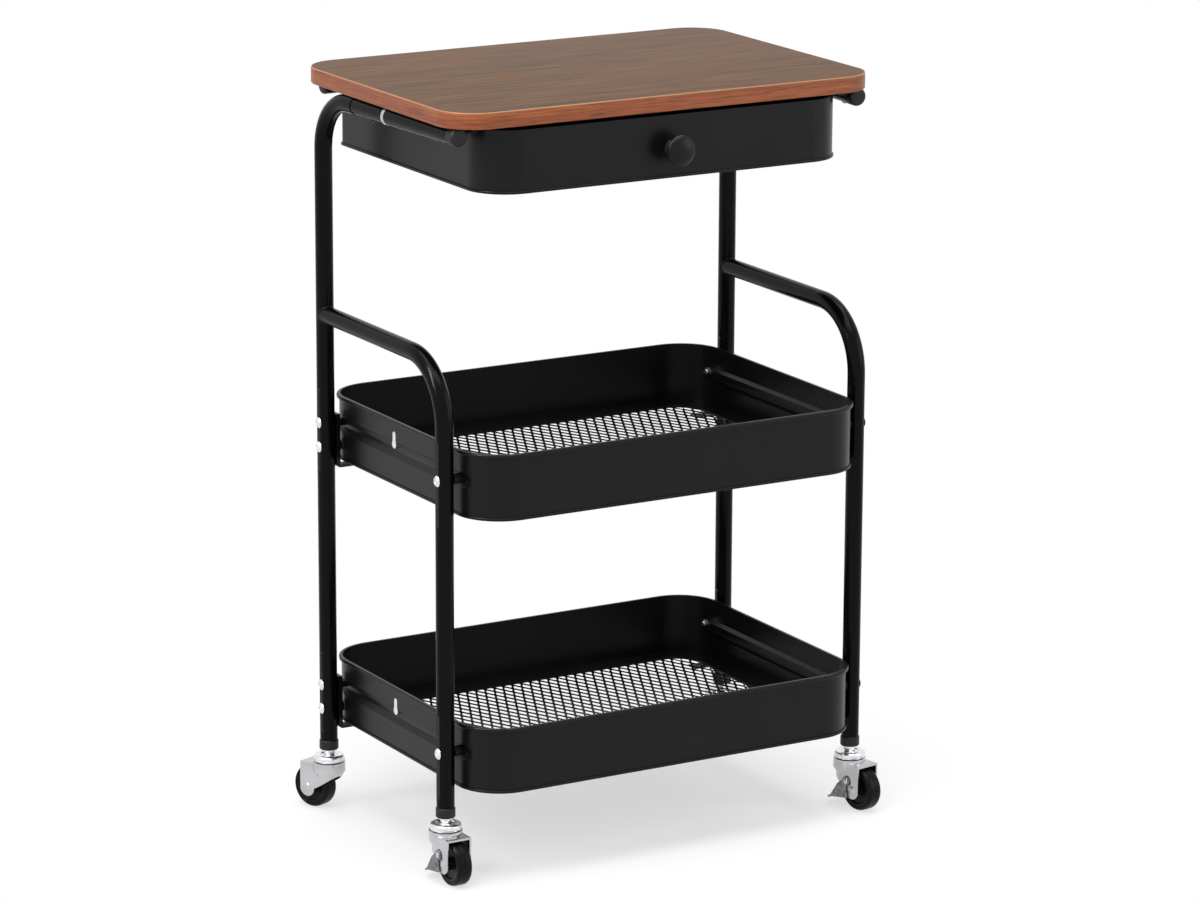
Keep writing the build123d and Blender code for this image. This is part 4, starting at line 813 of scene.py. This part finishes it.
def wheel(place, sizes, finishes):
    """A caster's moulded wheel: a hub, a dished face with a ring, and a tread with its mould seam."""
    spin = JOINTS[f"{place}_wheel_spin"]
    turned = Vector(spin["axis"]).to_track_quat("Z", "Y").to_matrix().to_4x4()
    out, bore, boss, half, hub, seam = (
        size / MM / 2
        for size in (sizes.wheel, sizes.wheel_bore, sizes.hub,
                     sizes.wheel_width, sizes.wheel_hub, sizes.seam)
    )
    boss_ease, tread_ease, sides = 0.5, 1.8, 128
    face = [(bore, hub, 0), (boss, hub, boss_ease)]
    face += [(r, half - depth, ease) for r, depth, ease in FACE_CORNERS]
    face += [(out, half - sizes.tread_corner / MM, tread_ease), (out, seam, 0)]
    middle = (out - sizes.seam_depth / MM, 0, 0)
    profile = rounded(face + [middle] + [(r, -h, ease) for r, h, ease in reversed(face)])
    piece = settle(f"{place}_wheel_moulded", lathe(profile, sides, closed=True), finishes["wheel"],
                   place=Matrix.Translation(spin["pos_m"]) @ turned)
    stand_in(piece, f"{place}_wheel", "wheel_plastic", f"{place}_wheel")


def caster(place, sizes, finishes):
    """One caster's cup, fork, wheel and, in front, its brake pedal."""
    cup(place, sizes, finishes)
    fork = eased(f"{place}_fork", sizes.fork_ease, finishes["zinc"])
    stand_in(fork, f"{place}_caster", "zinc", f"{place}_fork")
    dress(finishes["zinc"], f"{place}_axle")
    wheel(place, sizes, finishes)
    if place.startswith("front"):
        pedal = eased(f"{place}_brake_pedal", sizes.pedal_ease, finishes["pedal"])
        stand_in(pedal, f"{place}_brake", "pedal_steel", f"{place}_brake_pedal")
        dress(finishes["zinc"], f"{place}_brake_pins")


# Settings
def length(label, words, millimetres):
    """A length setting, shown in the panel with its unit."""
    return bpy.props.FloatProperty(name=label, description=words, default=millimetres * MM, min=0.0,
                                   unit="LENGTH")


def angle(label, words, degrees):
    """An angle setting."""
    return bpy.props.FloatProperty(name=label, description=words, default=math.radians(degrees),
                                   subtype="ANGLE")


def amount(label, words, value):
    """A setting that is a plain number."""
    return bpy.props.FloatProperty(name=label, description=words, default=value, min=0.0)


class TrolleySizes(bpy.types.PropertyGroup):
    """Sizes of the pieces that the scene adds to the frame."""

    board_corner: length("Board corner", "Radius of the worktop's corners", 45)
    board_arris: length("Board arris", "Rounding of the worktop's top edge", 1.2)
    band_line_from: length("Pale line from", "Where the pale line starts, below the worktop's face", 1.5)
    band_line_to: length("Pale line to", "Where the pale line is full, below the worktop's face", 0.9)
    mesh_pitch_x: length("Mesh pitch across", "Width of one diamond of the mesh floors", 12)
    mesh_pitch_y: length("Mesh pitch deep", "Length of one diamond of the mesh floors", 25)
    mesh_strand: length("Mesh strand", "Width of a strand of the mesh floors", 2.4)
    mesh_tuck: length("Mesh tuck", "How far the outer diamonds' centres stay inside the sheet's edge", 6)
    mesh_corner: length("Mesh corner", "Corner radius of the mesh floors", 36)
    screw_head: length("Screw head", "Diameter of a tray screw's head", 12.5)
    screw_head_height: length("Screw head height", "Height of a tray screw's head", 3)
    screw_shank: length("Screw shank", "Diameter of a tray screw's shank", 5)
    front_screw_rise: length("Front screw rise", "Front tray screw above the tray's underside", 41)
    rear_screw_rise: length("Rear screw rise", "Upper rear tray screw above the tray's underside", 45)
    rear_low_screw_rise: length("Low rear screw rise", "Lower rear screw above the tray's underside", 17)
    nutted_screw_end: length("Nutted screw end", "End of a nutted screw from the middle plane", 234)
    low_screw_end: length("Low screw end", "End of a lower rear screw from the middle plane", 246)
    keyhole_back: length("Keyhole back", "Keyhole plug behind the tray's middle", 14)
    keyhole_rise: length("Keyhole rise", "Middle of a keyhole above the tray's underside", 51)
    slot_back: length("Slot back", "Slot of the frame's tray behind its middle", 15)
    slot_width: length("Slot width", "Width of the slot in the frame's tray", 6)
    slot_height: length("Slot height", "Height of the slot in the frame's tray", 17)
    plug_neck: length("Plug neck", "Width of a keyhole plug's neck", 6.6)
    plug_foot: length("Plug foot", "Diameter of a keyhole plug's foot", 9.4)
    plug_height: length("Plug height", "Height of a keyhole plug", 19)
    plug_inset: length("Plug inset", "Plug's outer face inside the tray's rim", 2.7)
    plug_depth: length("Plug depth", "Depth of a keyhole plug", 6.4)
    tube: length("Tube", "Diameter of the frame's tube", 20)
    handle_height: length("Handle height", "Axis of the handles where they meet the rear legs", 580)
    weld_bead: length("Weld bead", "Radius of the weld at each handle", 1.1)
    weld_lift: length("Weld lift", "Middle of the weld in front of the rear leg's face", 0.4)
    arm_toe: angle("Arm toe-in", "Turn of the top arms towards each other", 2.456)
    arm_overlap: length("Arm overlap", "How much further back an arm's end and ring sit on the neck", 26)
    runner_sheet: length("Runner sheet", "Thickness of the drawer runners", 1.5)
    runner_flange: length("Runner flange", "Width of a drawer runner's flange", 10)
    knob: length("Knob", "Diameter of the drawer's knob", 35)
    knob_head: length("Knob head", "Length of the knob's head", 14)
    knob_stem: length("Knob stem", "Diameter of the knob's stem", 13)
    knob_flare: length("Knob flare", "Diameter of the stem's flared foot", 18)
    knob_flare_height: length("Knob flare height", "Height of the stem's flared foot", 3)
    knob_bore: length("Knob bore", "Diameter of the bore for the knob's screw", 4)
    knob_bore_depth: length("Knob bore depth", "Depth of the bore for the knob's screw", 14)
    cup: length("Caster cup", "Diameter of a caster's bearing cup", 36)
    cup_rim: length("Cup rim", "Top of a caster's cup above the floor", 66)
    stem_foot: length("Stem foot", "Diameter of a stem's riveted foot", 15)
    stem_foot_height: length("Stem foot height", "Height of a stem's riveted foot", 1.6)
    stem_shank: length("Stem shank", "Diameter of a stem inside the fork", 10)
    stem_pin: length("Stem pin", "Diameter of a stem inside the leg", 8)
    stem_tip: length("Stem tip", "Height of the cone at a stem's tip", 0.6)
    fork_ease: length("Fork easing", "Easing of a fork's edges", 0.5)
    pedal_ease: length("Pedal easing", "Easing of a brake pedal's edges", 0.3)
    wheel: length("Wheel", "Diameter of a wheel", 50)
    wheel_width: length("Wheel width", "Width of a wheel's tread", 18)
    wheel_hub: length("Wheel hub", "Length of a wheel's hub", 25)
    wheel_bore: length("Wheel bore", "Diameter of a wheel's bore", 6.2)
    hub: length("Hub", "Diameter of a wheel's hub", 13.6)
    tread_corner: length("Tread corner", "Width of the rounded corner of a wheel's tread", 2.8)
    seam: length("Seam", "Width of the mould seam round a wheel", 0.7)
    seam_depth: length("Seam depth", "Depth of the mould seam round a wheel", 0.25)


class TrolleyColours(bpy.types.PropertyGroup):
    """Colours that a user may change."""

    coat: bpy.props.FloatVectorProperty(name="Powder coat", description="Colour of the frame's powder coat",
                                        default=linear("#090909")[:3], subtype="COLOR", min=0.0, max=1.0)


class TrolleyStage(bpy.types.PropertyGroup):
    """Camera and studio."""

    lens: amount("Lens", "Focal length in millimetres", 147.99)
    sensor: amount("Sensor", "Width of the camera's sensor in millimetres", 36.0)
    far_end: length("Far end", "How far the camera sees", 100000)
    eye: bpy.props.FloatVectorProperty(name="Camera place", description="Camera position", unit="LENGTH",
                                       default=(-2.6977, -4.6543, 1.7991))
    yaw: angle("Yaw", "Turn of the camera to the left", -30.20)
    pitch: angle("Pitch", "Tilt of the camera", -14.36)
    roll: angle("Roll", "Roll of the camera", 0.26)
    key: amount("Key light", "Power of the key light in watts", 60.0)
    strip: amount("Strip light", "Power of the strip that draws the highlights, in watts", 80.0)
    top: amount("Top light", "Power of the top light in watts", 75.0)
    fill: amount("Fill light", "Power of the fill light in watts", 16.0)
    bounce: amount("Bounce", "Brightness of the far floor as light on the trolley", 0.88)
    ambient: amount("Ambient", "Brightness of the studio walls", 0.5)
    floor_radius: length("Floor", "Radius of the floor", 4000)
    fade_start: length("Fade start", "Where the floor starts to turn white, from the trolley's middle", 150)
    fade_end: length("Fade end", "Where the floor is plain white, from the trolley's middle", 560)
    near_white: amount("Near white", "Share of plain white in the floor under the trolley", 0.45)


# Lights: the name of the power's setting, place, size, and the ray that doesn't see it
LIGHTS = (
    ("key", (-2.4, -1.2, 1.9), (2.4, 2.0), "glossy"),
    ("strip", (-2.3, -0.2, 2.5), (0.3, 1.8), "diffuse"),
    ("top", (-0.1, -0.2, 3.0), (2.6, 2.6), None),
    ("fill", (2.2, -2.2, 1.4), (1.4, 1.8), None),
)
LIGHTS_AIM = Vector((0, 0, 0.45))


# Operators
class TrolleyBoard(bpy.types.Operator):
    """Build the worktop"""

    bl_idname = "trolley.board"
    bl_label = "Worktop"

    def execute(self, context):
        board(context.scene.trolley_sizes, finish_set(context.scene))
        return {"FINISHED"}


class TrolleyFrame(bpy.types.Operator):
    """Finish the tube frame, its caps, rings and feet, and weld the handles"""

    bl_idname = "trolley.tube_frame"
    bl_label = "Tube frame"

    def execute(self, context):
        sizes, finishes = context.scene.trolley_sizes, finish_set(context.scene)
        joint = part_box("arm_joint_rings")[0].y - sizes.tube
        for side in SIDES:
            dress(finishes["tube"], f"handle_leg_{side}")
            toed_in(f"rear_upright_{side}", "black_paint", finishes["tube"], sizes)
            toed_in(f"top_arm_{side}", "black_paint", finishes["tube"], sizes, slide_from=joint)
        toed_in("arm_joint_rings", "bright_steel", finishes["zinc"], sizes, slide_from=joint)
        toed_in("arm_end_caps", "black_plastic", finishes["moulded"], sizes)
        toed_in("worktop_screws", "bright_steel", finishes["blackened"], sizes)
        dress(finishes["tube"], "rear_cross_bar", "rear_straps")
        dress(finishes["moulded"], "foot_inserts", "rear_bar_plugs")
        weld_beads(sizes, finishes)
        return {"FINISHED"}


class TrolleyTrays(bpy.types.Operator):
    """Finish the trays, and build their mesh floors, screws and keyhole plugs"""

    bl_idname = "trolley.trays"
    bl_label = "Trays"

    def execute(self, context):
        sizes, finishes = context.scene.trolley_sizes, finish_set(context.scene)
        dress(finishes["coat"], "tray_spacers", "tray_rear_brackets")
        for name in TRAYS:
            pressed_tray(name, sizes, finishes)
        dress(finishes["nickel"], "tray_nuts")
        mesh_floors(sizes, finishes)
        tray_screws(sizes, finishes)
        keyhole_plugs(sizes, finishes)
        return {"FINISHED"}


class TrolleyDrawer(bpy.types.Operator):
    """Finish the drawer, its knob and its runners"""

    bl_idname = "trolley.drawer"
    bl_label = "Drawer"

    def execute(self, context):
        sizes, finishes = context.scene.trolley_sizes, finish_set(context.scene)
        dress(finishes["coat"], "drawer_body")
        knob(sizes, finishes)
        for side in ("right", "left"):
            runner(side, sizes, finishes)
        runner_screws(sizes, finishes)
        dress(finishes["hardboard"], "drawer_floor")
        dress(finishes["moulded"], "drawer_stops")
        dress(finishes["nickel"], "knob_screw")
        return {"FINISHED"}


class TrolleyCasters(bpy.types.Operator):
    """Build the four casters"""

    bl_idname = "trolley.casters"
    bl_label = "Casters"

    def execute(self, context):
        sizes, finishes = context.scene.trolley_sizes, finish_set(context.scene)
        for place in PLACES:
            caster(place, sizes, finishes)
        return {"FINISHED"}


class TrolleyStudio(bpy.types.Operator):
    """Set the floor, the lights and the camera"""

    bl_idname = "trolley.studio"
    bl_label = "Studio"

    def execute(self, context):
        settings = context.scene.trolley_stage
        self.floor(settings)
        self.walls(context, settings)
        self.lights(context, settings)
        self.camera(context, settings)
        context.scene.view_settings.view_transform = "Standard"
        return {"FINISHED"}

    def floor(self, settings):
        """A pale floor that takes the shadow near the trolley and turns to plain white further off."""
        shape = bmesh.new()
        bmesh.ops.create_circle(shape, cap_ends=True, segments=96, radius=settings.floor_radius)
        piece = settle("studio_floor", shape)
        material, tree, shader = finish("Pale studio floor", "#f2f2f2", 0.9, specular=0.0)
        reach = vectors(tree, "LENGTH", coordinates(tree))
        fade = {"Value": reach, "From Min": settings.fade_start, "From Max": settings.fade_end,
                "To Min": settings.near_white}
        far = node(tree, "ShaderNodeMapRange", fade, interpolation_type="SMOOTHSTEP").outputs["Result"]
        white = node(tree, "ShaderNodeEmission", {"Strength": background(tree, settings.bounce)})
        both = node(tree, "ShaderNodeMixShader", {0: far, 1: shader.outputs[0], 2: white.outputs[0]})
        tree.links.new(both.outputs[0], tree.nodes["Material Output"].inputs["Surface"])
        piece.data.materials.append(material)

    def walls(self, context, settings):
        """White behind the trolley and in its metal, and a softer studio as the light on it."""
        world = bpy.data.worlds.new("Studio")
        world.use_nodes = True
        context.scene.world = world
        tree = world.node_tree
        back = tree.nodes["Background"]
        back.inputs["Color"].default_value = linear("#ffffff")
        tree.links.new(background(tree, settings.ambient), back.inputs["Strength"])

    def lights(self, context, settings):
        """A large soft key on the left, a narrow strip for highlights, a broad soft top and a weak fill."""
        for name, place, size, unseen in LIGHTS:
            light = bpy.data.lights.new(name, "AREA")
            light.shape = "RECTANGLE"
            light.size, light.size_y = size
            light.energy = getattr(settings, name)
            lamp = bpy.data.objects.new(name, light)
            lamp.location = place
            lamp.rotation_euler = (LIGHTS_AIM - Vector(place)).to_track_quat("-Z", "Y").to_euler()
            if unseen:
                setattr(lamp, f"visible_{unseen}", False)
            context.scene.collection.objects.link(lamp)

    def camera(self, context, settings):
        """The photograph's camera: a long lens a little above, looking from the left."""
        data = bpy.data.cameras.new("camera")
        data.lens = settings.lens
        data.sensor_width = settings.sensor
        data.clip_end = settings.far_end
        yaw, pitch, roll = settings.yaw, settings.pitch, settings.roll
        ahead = Vector((-math.sin(yaw) * math.cos(pitch), math.cos(yaw) * math.cos(pitch), math.sin(pitch)))
        level = Vector((math.cos(yaw), math.sin(yaw), 0))
        over = level.cross(ahead)
        right = math.cos(roll) * level + math.sin(roll) * over
        up = -math.sin(roll) * level + math.cos(roll) * over
        turned = Matrix((right, up, -ahead)).transposed().to_4x4()
        eye = bpy.data.objects.new("camera", data)
        eye.matrix_world = Matrix.Translation(settings.eye) @ turned
        context.scene.collection.objects.link(eye)
        context.scene.camera = eye


class TrolleyPanel(bpy.types.Panel):
    """Trolley pieces and settings"""

    bl_idname = "VIEW3D_PT_trolley"
    bl_label = "Kitchen trolley"
    bl_space_type = "VIEW_3D"
    bl_region_type = "UI"
    bl_category = "Trolley"

    def draw(self, context):
        scene = context.scene
        for operator in OPERATORS:
            self.layout.operator(operator.bl_idname)
        for settings in (scene.trolley_sizes, scene.trolley_colours, scene.trolley_stage):
            for key in settings.bl_rna.properties.keys():
                if key not in ("rna_type", "name"):
                    self.layout.prop(settings, key)


OPERATORS = (TrolleyBoard, TrolleyFrame, TrolleyTrays, TrolleyDrawer, TrolleyCasters, TrolleyStudio)
CLASSES = (TrolleySizes, TrolleyColours, TrolleyStage, *OPERATORS, TrolleyPanel)


def register():
    for cls in CLASSES:
        bpy.utils.register_class(cls)
    bpy.types.Scene.trolley_sizes = bpy.props.PointerProperty(type=TrolleySizes)
    bpy.types.Scene.trolley_colours = bpy.props.PointerProperty(type=TrolleyColours)
    bpy.types.Scene.trolley_stage = bpy.props.PointerProperty(type=TrolleyStage)


def unregister():
    del bpy.types.Scene.trolley_stage
    del bpy.types.Scene.trolley_colours
    del bpy.types.Scene.trolley_sizes
    for cls in reversed(CLASSES):
        bpy.utils.unregister_class(cls)


def main():
    register()
    for call in (bpy.ops.trolley.board, bpy.ops.trolley.tube_frame, bpy.ops.trolley.trays,
                 bpy.ops.trolley.drawer, bpy.ops.trolley.casters, bpy.ops.trolley.studio):
        call()


if __name__ == "__main__":
    main()
